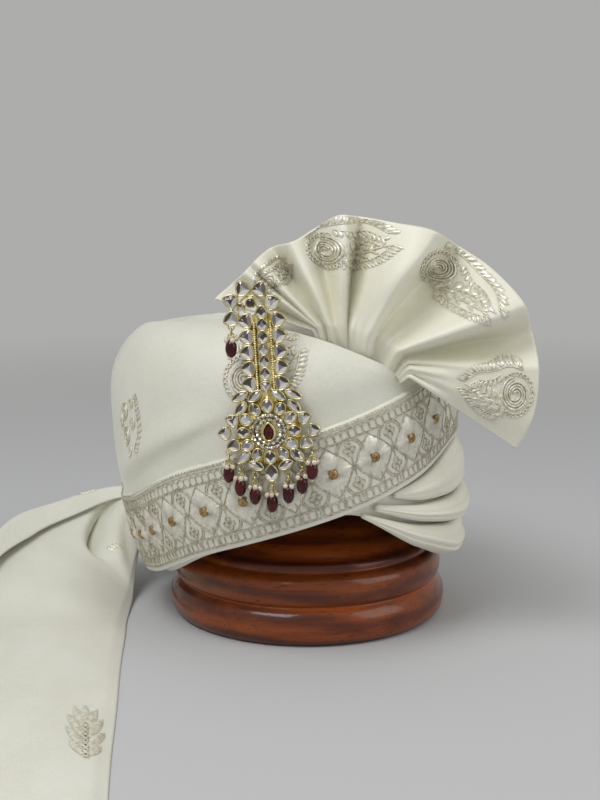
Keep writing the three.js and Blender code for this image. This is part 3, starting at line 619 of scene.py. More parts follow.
flower = satin_flower(11.2, 13.4)
sequin_rim = threads([circle(0, 0, 2.5, 0.2, 20)], 0.34)
sequin = merged([dome(2.5, 1.0, 6, 24), sequin_rim, threads([circle(0, 0, 0.9, 0.95, 10)], 0.22)])
angle = np.radians(np.linspace(0, 360, 49))
petals = 1 / (np.abs(np.cos(angle)) / 12.2 + np.abs(np.sin(angle)) / 14.5)
petals = petals * (1 + 0.1 * np.abs(np.sin(2 * angle)))
outline = np.stack([petals * np.cos(angle), FLOWER_UP + petals * np.sin(angle), 0 * angle + 0.25], -1)
stem = [line((0, 23), (1.4, 16), (2.6, 11.4), height=1.15), line((2.6, 11.4), (2.2, 6), (3.2, 3.4))]
barbs = [
    line((2 + aside, 8.2 - down), (2.2, 7.2 - down), height=0.35, count=3)
    for down in (0, 1.4, 2.8)
    for aside in (-1.6, 1.6)
]
flowers, zari_work, sequins = [], [], []
for azimuth in spots(PITCH, margin=10):
    flowers.append((on_border(azimuth, flower[0] + [0, FLOWER_UP, 0]), flower[1]))
    sequins.append((on_border(azimuth, sequin[0] + [0, FLOWER_UP, SEQUIN_UP]), sequin[1]))
    for made in (threads([outline], 0.36), threads(stem, 0.3), threads(barbs, 0.24)):
        zari_work.append((on_border(azimuth, made[0]), made[1]))

arches = []
for radius in (8.0, 6.7):
    arches += [circle(0, 33.2, radius, 0.3, 18, -18, 198), circle(0, 16.4, radius, 0.3, 18, 162, 378)]
small_rings = []
for up in (34.8, 15):
    for x, y in ((-2, up), (2, up), (0, up + 2.5), (0, up - 2.5)):
        small_rings.append(circle(x, y, 1.55, 0.35, 8))
trellis = [
    line((0, 30.6), (0.2, 25), (0, 19.4)),
    line((0, 9.8), (0.4, 7), (0, 5)),
    line((0, 37.8), (0.3, 39.5), (0, 41.6)),
]
knots = [circle(x, FLOWER_UP + y, 0.7, 0.4, 6) for x, y in ((-1.7, 0), (1.7, 0), (0, 1.7), (0, -1.7))]
between = [threads(arches, 0.34), threads(small_rings, 0.46), threads(trellis, 0.34), threads(knots, 0.3)]
for azimuth in spots(PITCH, 0.5, margin=9):
    for made in between:
        zari_work.append((on_border(azimuth, made[0]), made[1]))

loops = threads([circle(0, 6.4, 2.55, 0.35, 12), circle(0, 43, 2.5, 0.35, 12)], 0.27)
picots = threads([circle(x, 48.2, 0.75, 0.2, 6, 0, 180) for x in (-1.1, 1.1)], 0.22)
for azimuth in spots(LOOP_PITCH):
    for made in (loops, picots):
        zari_work.append((on_border(azimuth, made[0]), made[1]))
within = fine[(fine > BORDER_ENDS[0] + 1) & (fine < BORDER_ENDS[1] - 1)]
for up, radius in BORDER_CORDS:
    turn = np.repeat(within, 4)
    ring = np.tile(np.radians(np.arange(4) * 90 + 90), len(within))
    size = np.hypot(1, border_slope(turn))
    along = border_low(turn) + (up * size + radius * np.cos(ring)) / RUN
    lifted = BORDER_LIFT + BORDER_THICK + 0.2 + radius * np.sin(ring)
    zari_work.append((drum(turn, along, lifted), grid_faces(len(within), 4, round_columns=True)))
stitched("border_flowers", flowers, floss)
stitched("border_zari", zari_work, zari)
stitched("border_sequins", sequins, gilt_sequin)

# The side folds: three more turns of the cloth, twisted into soft rolls from the border's foot round the
# right side to the back, each lapped by the one above and creased along its length where it was drawn tight.
# Azimuth, lower edge, upper edge and how far the roll stands off the drum.
FOLDS = [
    [(-68, 83.5, 86, 2.5), (-46, 60, 73, 9), (-22, 46.5, 66, 16), (12, 45, 65, 17), (70, 43, 63, 12),
     (112, 42.5, 59, 7), (130, 46, 52, 0.8)],
    [(-64, 86.4, 90.5, 2.5), (-46, 75.5, 85.5, 8), (-22, 68, 83, 13), (12, 67, 84.5, 15), (70, 65, 86, 11),
     (112, 62, 80, 7), (130, 67, 73, 0.8)],
    [(-58, 92.6, 95.4, 2), (-46, 88, 101.5, 5), (-22, 85.5, 113.5, 8), (12, 87, 114.5, 10),
     (40, 88.5, 104, 9), (70, 89, 93, 3)],
]  # fmt: skip
for number, rows in enumerate(FOLDS, 1):
    table = np.array(rows, float)
    azimuths = np.linspace(table[0, 0], table[-1, 0], 150)[:, None]
    low, high, bulge = (curve(azimuths, table[:, 0], table[:, i]) for i in (1, 2, 3))
    low, high = along_at(low), along_at(high)
    v = np.linspace(0, 1, 34)
    swell = np.sqrt(np.sin(np.pi * (0.06 + 0.88 * v)))
    creases = 0
    for place, depth in ((0.34, 0.1), (0.7, 0.14)):
        off = v - place - 0.05 * np.sin(np.radians(azimuths * 2.1 + 70 * number + 300 * place))
        creases = creases - depth * np.exp(-((np.where(off < 0, off / 0.04, off / 0.16)) ** 2))
    ripple = 0.05 * np.sin(np.radians(azimuths * 5 + 40 * number) + 7 * v)
    outer = drum(azimuths, low + (high - low) * v, LAYER + bulge * (swell * (1 + creases + ripple)))
    inner = drum(azimuths, low + (high - low) * v[::-1], LAYER)
    roll = np.concatenate([outer, inner], 1)
    count = roll.shape[1]
    points = np.vstack([roll.reshape(-1, 3), roll[0].mean(0), roll[-1].mean(0)])
    last = len(points) - 2
    faces = [tuple(f[::-1]) for f in grid_faces(len(roll), count, round_columns=True)]
    faces += [(last, i, (i + 1) % count) for i in range(count)]
    faces += [(last + 1, last - count + (i + 1) % count, last - count + i) for i in range(count)]
    uv_round = np.repeat(azimuths * CLOTH_PER_DEGREE, count, 1)
    uv_over = np.broadcast_to(np.linspace(0, 0.06, count), uv_round.shape)
    uv = np.vstack([np.stack([uv_round, uv_over], -1).reshape(-1, 2), [[0, 0], [0, 0]]])
    node = f"side_fold_{number}"
    fold = cloth_piece(f"side_roll_{number}", points, faces, uv, painted_light_satin, "ivory_cloth", node)

# The fan: the cloth's other end, starched and folded in pleats, gathered hard at its root under the front
# winding's edge and spread so that each pleat opens towards a free edge.
FAN_LEFT, FAN_RIGHT = np.array([10, -100, 185]), np.array([47, -101.5, 168.6])
FAN_LEAN, FAN_SWING = 0.2, 0.12
FAN_THICK = 1.5
FAN_ENDS = (163, -34.6)
FAN_FLAT = (0.3, 0.075)
ROOT_SHARE, ROOT_TUCK = 0.05, 8
PLEAT_DEEP = 1.3
# Angle, reach and how far each ridge or valley comes forward.
PLEATS = [
    (163, 65, -1), (153, 60, -6), (143, 58, 4), (139.5, 58, 1.5), (135.5, 58.5, 5), (125, 59.5, -6),
    (115, 58.5, 7), (103, 63, -5), (92, 70, 6), (86, 70, -8), (76, 71, 3), (62, 76, 12), (49, 78.5, -12),
    (36, 82, -4), (22, 84, 11), (9, 86, -10), (-3, 83.5, 4), (-20, 84.5, 4), (-34.6, 85, 0),
]  # fmt: skip
pleats = np.array(PLEATS, float)


def fan(angle, v, shift=0.0):
    """Points on the fan from a pleat's angle and the share of the way out to its edge."""
    angle, v = np.broadcast_arrays(np.asarray(angle, float), v)
    turned = np.clip(((FAN_ENDS[0] - angle) / (FAN_ENDS[0] - FAN_ENDS[1]) + 0.1) / 1.2, 0, 1)
    eased = turned**3 * (turned * (turned * 6 - 15) + 10)
    root = FAN_LEFT + (FAN_RIGHT - FAN_LEFT) * eased[..., None]
    out = curve(angle, pleats[:, 0], pleats[:, 1]) * (ROOT_SHARE + (1 - ROOT_SHARE) * v)
    bend = 11 * (0.62 - v) * step(angle, 5, 62) * (1 - step(angle, 66, 112)) * (1 - step(v, 0.75, 1) * 0.35)
    polar = np.radians(angle + bend)
    across, up = out * np.cos(polar), out * np.sin(polar)
    opening = np.sin(np.pi / 2 * np.minimum(1, 1.25 * v + 0.05))
    forward = PLEAT_DEEP * curve(angle, pleats[:, 0], pleats[:, 2]) * opening
    forward = forward * (1 + 0.35 * np.sin(np.pi * v))
    near_root = (1 - step(v, 0.05, 0.5)) * step(v, 0, 0.12)
    puckers = 1.8 * np.sin(np.radians(angle * 19)) + 1.0 * np.sin(np.radians(angle * 31 + 40))
    forward = forward + near_root * puckers
    forward = forward + 0.9 * np.sin(angle * 0.11 + v * 5) * np.sin(v * 4 + angle * 0.05) * v
    depth = FAN_LEAN * np.maximum(up, 0) + FAN_SWING * np.abs(across) - forward - shift
    tuck = 1 - step(v, 0, 0.09)
    depth = depth + (1.5 + 5 * turned) * tuck
    return np.stack([root[..., 0] + across, root[..., 1] + depth, root[..., 2] + up - ROOT_TUCK * tuck], -1)


def normals(grid):
    across, down = np.gradient(grid, axis=0), np.gradient(grid, axis=1)
    facing = np.cross(across, down)
    return facing / np.maximum(np.linalg.norm(facing, axis=-1, keepdims=True), 1e-9)


angles = np.linspace(*FAN_ENDS, 380)[:, None]
v = np.linspace(0, 1, 70)
middle = fan(angles, v, 1.0)
facing = normals(middle)
facing *= np.where(facing[..., 1:2] > 0, -1, 1)
thick = FAN_THICK * (0.35 + 0.65 * rounding(v, 0.02))[:, None]
points, faces = slab(middle + facing * thick / 2, middle - facing * thick / 2)
uv_round = np.broadcast_to(np.radians(angles) * 0.06, middle.shape[:2])
uv_out = np.broadcast_to(v * FAN_FLAT[1], middle.shape[:2])
uv = np.vstack([np.stack([uv_round, uv_out], -1).reshape(-1, 2)] * 2)
fan_cloth = cloth_piece("fan_pleats", points, faces[:, ::-1], uv, painted_light_satin, "ivory_cloth", "fan")

# The sprays on the fan: scrolling paisleys near the free edge, worked by hand in cream silk, with couched
# stems and scrolls, small rings, and leaves in padded satin stitch.


def leaf(x, y, long, wide, turn, height=0.2):
    """A satin-stitch leaf: a padded lens with its stitches slanting across it."""
    s, t = np.linspace(0, 1, 11)[:, None], np.linspace(-1, 1, 7)
    half = wide / 2 * np.sin(np.pi * s**0.85) ** 0.8
    pad = np.sqrt(1 - 0.96 * t**2) * np.sin(np.pi * np.clip(s, 0.05, 0.95)) ** 0.5
    stitch = np.where(np.arange(11) % 2, 0.22, -0.14)[:, None] * (1 - np.abs(t))
    flat = np.stack([long * s + 0.5 * half * np.abs(t), half * t + 0 * s, height + 0.7 * pad + stitch], -1)
    flat = flat.reshape(-1, 3)
    angle = np.radians(turn)
    spun = flat[:, :2] @ np.array([[np.cos(angle), np.sin(angle)], [-np.sin(angle), np.cos(angle)]])
    return np.column_stack([spun + [x, y], flat[:, 2]]), grid_faces(11, 7)


def spray(stem, pairs, long, spread):
    """Leaves in pairs along a stem, given by its points, with one at the tip."""
    line_points = spline(stem, 12)
    made = [threads([np.column_stack([line_points, np.full(len(line_points), 0.35)])], 0.42)]
    for i in range(pairs):
        at = int((i + 0.6) / (pairs + 0.6) * (len(line_points) - 2))
        run = np.degrees(np.arctan2(*(line_points[at + 1] - line_points[at])[::-1]))
        size = long * (1 - 0.4 * i / pairs)
        made += [leaf(*line_points[at], size, size * 0.46, run + side * spread) for side in (-1, 1)]
    run = np.degrees(np.arctan2(*(line_points[-1] - line_points[-2])[::-1]))
    return made + [leaf(*line_points[-1], long * 0.75, long * 0.28, run)]


def fringe(arc_points, count, long, lean):
    """Short leaves set side by side along a line, all leaning away from it."""
    edge = spline(arc_points, 16)
    made = [threads([np.column_stack([edge, np.full(len(edge), 0.3)])], 0.4)]
    for at in np.linspace(1, len(edge) - 2, count).astype(int):
        run = np.degrees(np.arctan2(*(edge[at + 1] - edge[at - 1])[::-1]))
        made.append(leaf(*edge[at], long, long * 0.45, run + lean))
    return made


def paisley():
    """A scrolling paisley about 38 mm across: a beaded scroll, a leaf spray and feathered edges."""
    angle = np.linspace(0, 2 * np.pi * 2.2, 70)
    made = []
    for wider in (0.0, 1.5):
        reach = 1.0 + wider + 6.2 * angle / angle[-1]
        x, y = -8.5 + reach * np.cos(angle + 0.4), -3 + reach * np.sin(angle + 0.4)
        made.append(threads([np.stack([x, y, 0 * angle + 0.45], -1)], 0.72))
    for turn in np.radians(np.arange(70, 345, 13)):
        made.append(threads([circle(-8.5 + 10 * np.cos(turn), -3 + 10 * np.sin(turn), 0.95, 0.4, 8)], 0.42))
    made += spray([(0, -10), (5, -4), (10, 1), (15, 4)], 5, 7.5, 48)
    made += fringe([(-16, 7), (-8, 11), (2, 12), (11, 13), (19, 9)], 19, 5.2, 62)
    made += fringe([(1, -13), (9, -11), (16, -6), (21, 3)], 16, 4.8, -62)
    made += fringe([(-3, 9), (4, 7), (11, 8), (17, 6)], 10, 4.4, -58)
    made += spray([(-2, -14), (4, -9), (11, -5), (17, 0)], 4, 5.5, 42)
    return merged(made)


def spun(flat, turn, size=1.0, mirrored=False):
    angle = np.radians(turn)
    flat = flat * [(-1 if mirrored else 1) * size, size, 1]
    turned_flat = flat[:, :2] @ np.array([[np.cos(angle), np.sin(angle)], [-np.sin(angle), np.cos(angle)]])
    return np.column_stack([turned_flat, flat[:, 2]])


def on_fan(angle, out, flat):
    """Flat needlework laid on the fan with its middle at a pleat's angle and a distance from the root."""
    turned_angle = angle - np.degrees(flat[:, 0] / out)
    reach = curve(turned_angle, pleats[:, 0], pleats[:, 1])
    share = ((out + flat[:, 1]) / reach - ROOT_SHARE) / (1 - ROOT_SHARE)
    kept = np.clip(share, 0, 0.985)
    at, aside, outward = (fan(turned_angle + a, kept + b, 1.0) for a, b in ((0, 0), (0.4, 0), (0, 0.01)))
    facing = np.cross(aside - at, outward - at)
    facing /= np.linalg.norm(facing, axis=1)[:, None]
    facing *= np.where(facing[:, 1:2] > 0, -1, 1)
    return at + facing * (FAN_THICK / 2 + flat[:, 2:])


paisley_flat, paisley_faces = paisley()
cream = thread_material(
    "cream_silk", (0.6, 0.56, 0.4, 1), (0.98, 0.96, 0.86, 1), Metallic=0.35, Specular_IOR_Level=1.0
)
# Pleat angle, distance out, turn, size and mirroring of each spray on the fan.
FAN_SPRAYS = [
    (92, 54, 8, 0.92, False), (41, 63, -8, 1.0, False), (-14, 62, 110, 0.98, True), (134, 46, 0, 0.5, False),
]  # fmt: skip
sprays = []
for angle, out, turn, size, mirrored in FAN_SPRAYS:
    sprays.append((on_fan(angle, out, spun(paisley_flat, turn, size, mirrored)), paisley_faces))
stitched("fan_sprays", sprays, cream)

# The sprays on the front winding: one paisley half under the brooch and a cluster of oval rings at the left,
# worked in the same cream silk through the winding's cloth.


def on_wrap(azimuth, along, flat):
    """Flat needlework laid on the front winding."""
    turn = azimuth + np.degrees(flat[:, 0] / oval(azimuth))
    up = along + flat[:, 1] / RUN
    low, top = wrap_along(turn, 0), wrap_along(turn, 1)
    return drum(turn, up, wrap_lift(turn, up, (up - low) / (top - low)) + WRAP_THICK + flat[:, 2])


ovals = fringe([(13, -15), (16, -4), (13, 8), (9, 16)], 12, 5.0, -66)
for x, y, size in ((0, -8, 1.35), (-3, 7, 1.25), (9, 1, 0.8), (7, -16, 0.7), (6, 13, 0.7), (-8, -1, 0.6)):
    for radius in (4.4, 3.1, 1.7):
        made = threads([circle(0, 0, radius * size, 0.4, 18, squash=0.8)], 0.5)
        ovals.append((spun(made[0], 70) + [x, y, 0], made[1]))
oval_flat, oval_faces = merged(ovals)
wrap_sprays = [
    (on_wrap(-95.5, 0.572, spun(paisley_flat, 12, 1.12)), paisley_faces),
    (on_wrap(-147, 0.425, oval_flat), oval_faces),
]
stitched("winding_sprays", wrap_sprays, cream)

# The tail: the free end of the cloth, led out from under the back and lying over the table to the front left.
# Its upper edge is turned over in a flap, a hollow stays beside the drum, and a leaf spray is worked on it.
TAIL_THICK = 1.4
ROLL_START, ROLL_TURN = 0.86, 188
# Right edge x, y, z, left edge x, y, z, depth of the folds, radius of the turned edge, width of its flap.
TAIL = [
    (-96, 56, 38, -103, 62, 64, 0.3, 2.5, 3), (-113, 42, 30, -140, 64, 54, 2, 3, 8),
    (-114, 18, 14, -172, 54, 42, 4, 4, 13), (-113, -6, 2, -200, 36, 33, 4, 4.5, 17),
    (-112, -36, 0, -211, 0, 19, 4, 4.5, 9), (-109, -68, 0, -212, -45, 4, 3.5, 3, 5),
    (-105, -115, 0, -211, -105, 0, 3, 1.4, 3), (-98, -180, 0, -205, -180, 0, 2.4, 1, 1),
    (-92, -240, 0, -199, -242, 0, 2.2, 1, 1), (-85, -298, 0, -193, -300, 0, 1.6, 1, 1),
]  # fmt: skip
tail_table = np.array(TAIL, float)


def tail_sheet(u, station):
    """The tail's middle surface: u runs from its right edge to the turned left one."""
    u, station = np.broadcast_arrays(np.asarray(u, float), station)
    rows = np.arange(len(TAIL))
    value = [curve(station, rows, tail_table[:, i]) for i in range(9)]
    right, left = np.stack(value[:3], -1), np.stack(value[3:6], -1)
    run = left - right
    run = run / np.linalg.norm(run, axis=-1, keepdims=True)
    lean = np.cross(run, np.stack([0 * u, 0 * u - 1, 0 * u], -1))
    lean = lean * np.sign(lean[..., 2:3])
    lean = lean / np.linalg.norm(lean, axis=-1, keepdims=True)
    flat = np.minimum(u / ROLL_START, 1)
    soft = value[6] * (0.5 - 0.5 * np.cos(2 * np.pi * (1.35 * flat + 0.1 * np.sin(station * 0.8))))
    soft = soft + 1.5 * np.sin(np.pi * flat) * (1 + np.sin(station * 1.7 + flat * 4)) * step(station, 0.3, 2)
    edge = 1.3 * np.sqrt(np.clip(1 - (1 - np.minimum(flat / 0.1, 1)) ** 2, 0, 1))
    body = np.sin(np.pi * np.clip(flat, 0, 1)) ** 0.4
    beside = step(station, 0.6, 1.2) * (1 - step(station, 2.0, 2.7))
    off = flat - 0.75 + 0.3 * (station - 1.3)
    hollow = beside * (4 * np.exp(-(((off + 0.22) / 0.13) ** 2)) - 16 * np.exp(-((off / 0.075) ** 2)))
    lift = (soft + 2.6 * body) * np.minimum(1, flat / 0.06) + edge + hollow
    point = right + (left - right) * flat[..., None] + lean * lift[..., None]
    roll = np.maximum(u - ROLL_START, 0) / (1 - ROLL_START)
    full = np.radians(ROLL_TURN)
    run_out = np.maximum(roll * (full * value[7] + value[8]) - full * value[7], 0)
    turn = np.minimum(roll * (full * value[7] + value[8]) / value[7], full)
    out = value[7] * np.sin(turn) + run_out * np.cos(turn)
    up = value[7] * (1 - np.cos(turn)) + run_out * np.sin(turn)
    rolled = out[..., None] * run + up[..., None] * lean
    point = point + np.where(roll[..., None] > 0, rolled, 0)
    point[..., 2] = np.maximum(point[..., 2], TAIL_THICK / 2 + 0.02)
    return point


u = np.concatenate([np.linspace(0, ROLL_START, 96), np.linspace(0.8655, 1, 34)])
stations = np.linspace(0, len(TAIL) - 1, 240)[:, None]
middle = tail_sheet(u, stations)
facing = normals(middle)
facing *= np.where(np.median(facing[..., :60, 2]) < 0, -1, 1)
thick = TAIL_THICK * (0.3 + 0.7 * rounding(u, 0.012))[:, None]
over, under = middle + facing * thick / 2, middle - facing * thick / 2
for layer in (over, under):
    layer[..., 2] = np.maximum(layer[..., 2], 0.0)
points, faces = slab(over, under)
uv_across = np.broadcast_to(u * 0.125, middle.shape[:2])
uv_down = np.broadcast_to(stations * 0.042, middle.shape[:2])
uv = np.vstack([np.stack([uv_across, uv_down], -1).reshape(-1, 2)] * 2)
tail = cloth_piece("tail_end", points, faces, uv, ivory, "ivory_cloth", "tail")

TAIL_ACROSS, TAIL_ALONG = 124, 60


def on_tail(u, station, flat):
    """Flat needlework laid on the tail; up in the work is towards the drum."""
    at = tail_sheet(u - flat[:, 0] / TAIL_ACROSS, station - flat[:, 1] / TAIL_ALONG)
    return at + np.column_stack([0 * flat[:, :2], TAIL_THICK / 2 + flat[:, 2]])


# Height of the foot, length and lean of each pair of leaves in the tail's spray.
LEAF_PAIRS = [(-11, 8, 42), (-7.5, 11, 38), (-3.5, 12.5, 30), (0.5, 12, 20)]
pairs = [leaf(0, foot, long, 3.4, 90 + side * lean) for foot, long, lean in LEAF_PAIRS for side in (-1, 1)]
seam = [threads([circle(0, -11 + 2 * i, 0.8, 1.1, 8)], 0.35) for i in range(8)]
leaf_spray = merged(pairs + [leaf(0, 2, 11, 3.4, 90)] + seam)
bits = merged(spray([(-9, -2), (0, 1), (9, 1)], 4, 6, 35))
tail_work = [
    (on_tail(0.105, 7.56, spun(leaf_spray[0] * [1.4, 2.5, 1], 4)), leaf_spray[1]),
    (on_tail(0.25, 2.2, spun(bits[0], 45)), bits[1]),
    (on_tail(0.9, 1.5, spun(bits[0], 90)), bits[1]),
]
stitched("tail_sprays", tail_work, cream)

# The brooch: a gilt kalgi pinned to the front winding. Foil-backed glass stones sit in rubbed-over bezels on
# a rosette, a stem and a curled crest; a red drop stone is in the middle, and wired red beads hang below.
BEZEL = 2.2
STONE_INSET = 0.55
CREST = (-5.4, 66)
DARK_STONE = (-5.4, 69.6)
PLATE = 1.2
WIRE = 0.36
EYELET, LINK = 1.6, 1.9
BEAD_WIDE, BEAD_LONG = 6.4, 10
upright = Matrix.Translation((-21, -120.4, 135)) @ Euler((0, 0, np.radians(-8))).to_matrix().to_4x4()
upright = upright @ Euler((np.radians(87), 0, 0)).to_matrix().to_4x4()
rolled = upright @ Euler((0, 0, np.radians(4))).to_matrix().to_4x4()
lucky = np.random.default_rng(7)


def set_in(place, points):
    """Points given across, up and out of the brooch, in the turban's frame."""
    grid = np.array(place)
    return np.asarray(points, float) @ grid[:3, :3].T + grid[:3, 3]


def stone_outline(kind, long, wide, count=24):
    """A stone's outline, with its point along +x."""
    angle = np.linspace(0, 2 * np.pi, count, endpoint=False)
    if kind == "leaf":
        return np.stack([long * np.cos(angle), wide * np.sin(angle) * np.abs(np.sin(angle)) ** 0.55], -1)
    if kind == "triangle":
        side = (angle + np.pi / 3) % (2 * np.pi / 3) - np.pi / 3
        reach = (0.5 / np.cos(np.pi / 3 - np.abs(side))) ** 0.36 * 1.13
        return np.stack([long * (reach * np.cos(angle) - 0.02), wide * reach * np.sin(angle)], -1)
    if kind == "pear":
        point = 1 + 0.32 * np.exp(-((np.minimum(angle, 2 * np.pi - angle) / 0.42) ** 2))
        return np.stack([long * (point * np.cos(angle) - 0.06), wide * np.sin(angle)], -1)
    return np.stack([long * np.cos(angle), wide * np.sin(angle)], -1)


def stacked(outline, rings):
    """A wall through copies of an outline, each given by its outward shift and height, open at both ends."""
    facing = np.roll(outline, -1, 0) - np.roll(outline, 1, 0)
    facing = np.stack([facing[:, 1], -facing[:, 0]], -1)
    facing /= np.linalg.norm(facing, axis=1)[:, None]
    points = [np.column_stack([outline + facing * out, np.full(len(outline), up)]) for out, up in rings]
    return np.vstack(points), grid_faces(len(rings), len(outline), round_columns=True)


def placed(made, across, up, turn):
    points, faces = made
    angle = np.radians(turn)
    spun = points[:, :2] @ np.array([[np.cos(angle), np.sin(angle)], [-np.sin(angle), np.cos(angle)]])
    return np.column_stack([spun + [across, up], points[:, 2]]), faces


def ring_wire(radius, wire=WIRE, turn=0.0, count=18):
    """A round wire ring about the origin, standing in the brooch's face or turned about its upright axis."""
    angle = np.radians(np.linspace(0, 360, count, endpoint=False))[:, None]
    around = np.radians(np.arange(6) * 60)
    radius = radius + wire * np.cos(around)
    points = np.stack([radius * np.cos(angle), radius * np.sin(angle), wire * np.sin(around) + 0 * angle], -1)
    points = np.vstack([points.reshape(-1, 3), points[0]])
    twist = np.radians(turn)
    spun = np.array([[np.cos(twist), 0, np.sin(twist)], [0, 1, 0], [-np.sin(twist), 0, np.cos(twist)]])
    return points @ spun.T, grid_faces(count + 1, 6, round_columns=True)


def ball(width, long, rings=12, sides=18):
    lean = np.radians(np.linspace(-89.5, 89.5, rings))[:, None]
    angle = np.radians(np.arange(sides) * 360 / sides)
    points = np.stack(
        [
            width / 2 * np.cos(lean) * np.cos(angle),
            long / 2 * np.sin(lean) + 0 * angle,
            -width / 2 * np.cos(lean) * np.sin(angle),
        ],
        -1,
    )
    return points.reshape(-1, 3), grid_faces(rings, sides, round_columns=True)


def moved(made, shift):
    return made[0] + np.asarray(shift, float), made[1]


# Kind, across, up, half length, half width and turn of each clear stone.
stones = [("pear", 0, -22.6, 4.2, 3.6, 90)]
for i in range(12):
    angle = 90 + 30 * i
    across, up = 14 * np.cos(np.radians(angle)), 14 * np.sin(np.radians(angle))
    stones.append(("round", across, up, 3.6, 3.2 - 0.3 * (i % 2), angle))
for angle, radius, wide, long, kind in (
    (0, 24.3, 3.5, 3.5, "triangle"), (19, 20.9, 3.4, 3.6, "triangle"), (-19, 20.9, 3.4, 3.6, "triangle"),
    (42, 19.6, 2.5, 4.6, "leaf"), (-42, 19.6, 2.7, 4.2, "pear"), (-66, 20, 2.5, 4.4, "leaf"),
):  # fmt: skip
    for facing in (angle, 180 - angle):
        turn = facing + (90 if kind == "leaf" else 0)
        across, up = radius * np.cos(np.radians(facing)), radius * np.sin(np.radians(facing))
        stones.append((kind, across, up, long, wide, turn))
for across, up, wide, long, turn in ((6.4, 19.5, 2.5, 4.6, 35), (14.6, 19.6, 2.4, 5, 25)):
    stones += [("leaf", across, up, long, wide, -turn), ("leaf", -across, up, long, wide, 180 + turn)]
for i in range(5):
    stones += [("triangle", -8.8, 26 + 8.5 * i, 3.9, 4.1, 180), ("triangle", 8.8, 26 + 8.5 * i, 3.9, 4.1, 0)]
for i in range(7):
    stones.append(("triangle" if i == 0 else "pear", 0, 24.5 + 6.6 * i, 3.1, 3.0, -90 if i == 0 else 90))
for i in range(5):
    angle = 16 + 46.5 * i
    across = CREST[0] + 12 * np.cos(np.radians(angle))
    up = CREST[1] + 12 * np.sin(np.radians(angle))
    stones.append(("triangle", across, up, 4.2, 4.0, angle))
stones.append(("round", -11, 68.2, 1.5, 1.5, 0))

gilt_parts, clear_parts, foil_and_reflection = [], [], []
lip = [(0.85, 0), (0.85, BEZEL - 0.3), (0.75, BEZEL + 0.1), (0.45, BEZEL + 0.32), (0.12, BEZEL + 0.22)]
lip.append((0, BEZEL - 0.2))
for kind, across, up, long, wide, turn in stones:
    outline = stone_outline(kind, long - STONE_INSET, wide - STONE_INSET)
    gilt_parts.append(placed(stacked(outline, lip), across, up, turn))
    corners = {"triangle": 3, "leaf": 2}.get(kind, 4)
    count = len(outline)
    share = np.linspace(0, 2 * np.pi, count, endpoint=False)
    side = (share * corners / (2 * np.pi)).astype(int)
    table = outline * 0.5
    if corners > 2:
        facet = share % (2 * np.pi / corners) - np.pi / corners
        table = outline * (0.62 * (np.cos(np.pi / corners) / np.cos(facet)))[:, None]
    points = np.vstack(
        [
            np.column_stack([outline, np.full(count, BEZEL)]),
            np.column_stack([table, np.full(count, BEZEL + 0.75)]),
            [[*outline.mean(0), BEZEL + 0.95]],
        ]
    )
    faces = [(i, (i + 1) % count, count + (i + 1) % count, count + i) for i in range(count)]
    faces += [(count + i, count + (i + 1) % count, 2 * count, 2 * count) for i in range(count)]
    clear_parts.append(placed((points, np.array(faces)), across, up, turn))
    # Each facet's tone is the foil's own random shade plus a painted reflection: facets facing down are
    # painted lighter, as if mirroring the pale table, and facets facing up darker.
    tones = lucky.uniform(-0.28, 0.28, corners + 1)
    direction = np.radians(turn) + (side + 0.5) * 2 * np.pi / corners
    foil_and_reflection += list(np.clip(0.5 - 0.5 * np.sin(direction) + tones[side], 0, 1)) + [0.36 + tones[corners]] * count

for radius, count in ((6.5, 15), (8.9, 21)):
    for angle in np.radians(np.arange(count) * 360 / count + 4):
        across, up = radius * np.cos(angle), radius * np.sin(angle)
        chip = placed(dome(1.28, 1.0, 3, 6), across, up, lucky.uniform(0, 60))
        clear_parts.append(moved(chip, (0, 0, PLATE + 0.9)))
        foil_and_reflection += list(lucky.uniform(0.15, 1, len(chip[1])))

drop_flat = np.column_stack([stone_outline("pear", 3.6, 2.6, 32), np.zeros(32)])
drop_outline = placed((drop_flat, None), 0, -0.4, 90)[0][:, :2]
drop_rim = ((1.5, 0), (1.5, 2.5), (1.35, 3.1), (0.95, 3.5), (0.45, 3.4), (0.05, 3.0), (-0.05, 2.2))
gilt_parts.append(stacked(drop_outline, drop_rim))
gilt_parts += [moved(ring_wire(radius, 1.0, count=40), (0, 0, PLATE)) for radius in (6.5, 8.9)]
ROSETTE, ROSETTE_HIGH = 17.6, 1.0
rosette_turn = np.radians(np.arange(0, 360, 6))
outline = np.stack([ROSETTE * np.cos(rosette_turn), ROSETTE * np.sin(rosette_turn)], -1)
inner = 0.01 - ROSETTE
gilt_parts.append(stacked(outline, ((inner, 0), (0, 0), (0, ROSETTE_HIGH), (inner, ROSETTE_HIGH))))
strip = np.array([(6.6, 8), (6.6, 62), (3, 64), (-3, 64), (-6.6, 62), (-6.6, 8)], float)
strip_points = np.vstack([np.column_stack([strip, np.full(6, up)]) for up in (0.0, 1.5)])
cap = np.array([(0, 1, 2, 3), (0, 3, 4, 5)])
gilt_parts.append((strip_points, np.vstack([grid_faces(2, 6, round_columns=True), cap[:, ::-1], cap + 6])))
for side in (-1, 1):
    for up in np.arange(22.5, 60, 1.25):
        gilt_parts.append(moved(ball(1.7, 1.5, 5, 8), (side * 4.5, up, 1.9)))
curl = np.radians(np.linspace(-70, 235, 40))
for radius, wire in ((7.1, 0.55), (3.6, 0.5)):
    x, y = CREST[0] + radius * np.cos(curl), CREST[1] + radius * np.sin(curl) * 1.02
    path = np.stack([x, y, 0 * curl + 1.2], -1)
    gilt_parts.append(threads([path], wire, 6))
dark_turn = np.radians(np.arange(0, 360, 15))
dark_outline = np.stack([2.1 * np.cos(dark_turn), 2.1 * np.sin(dark_turn)], -1)
gilt_parts.append(moved(stacked(dark_outline, lip), (*DARK_STONE, 0)))

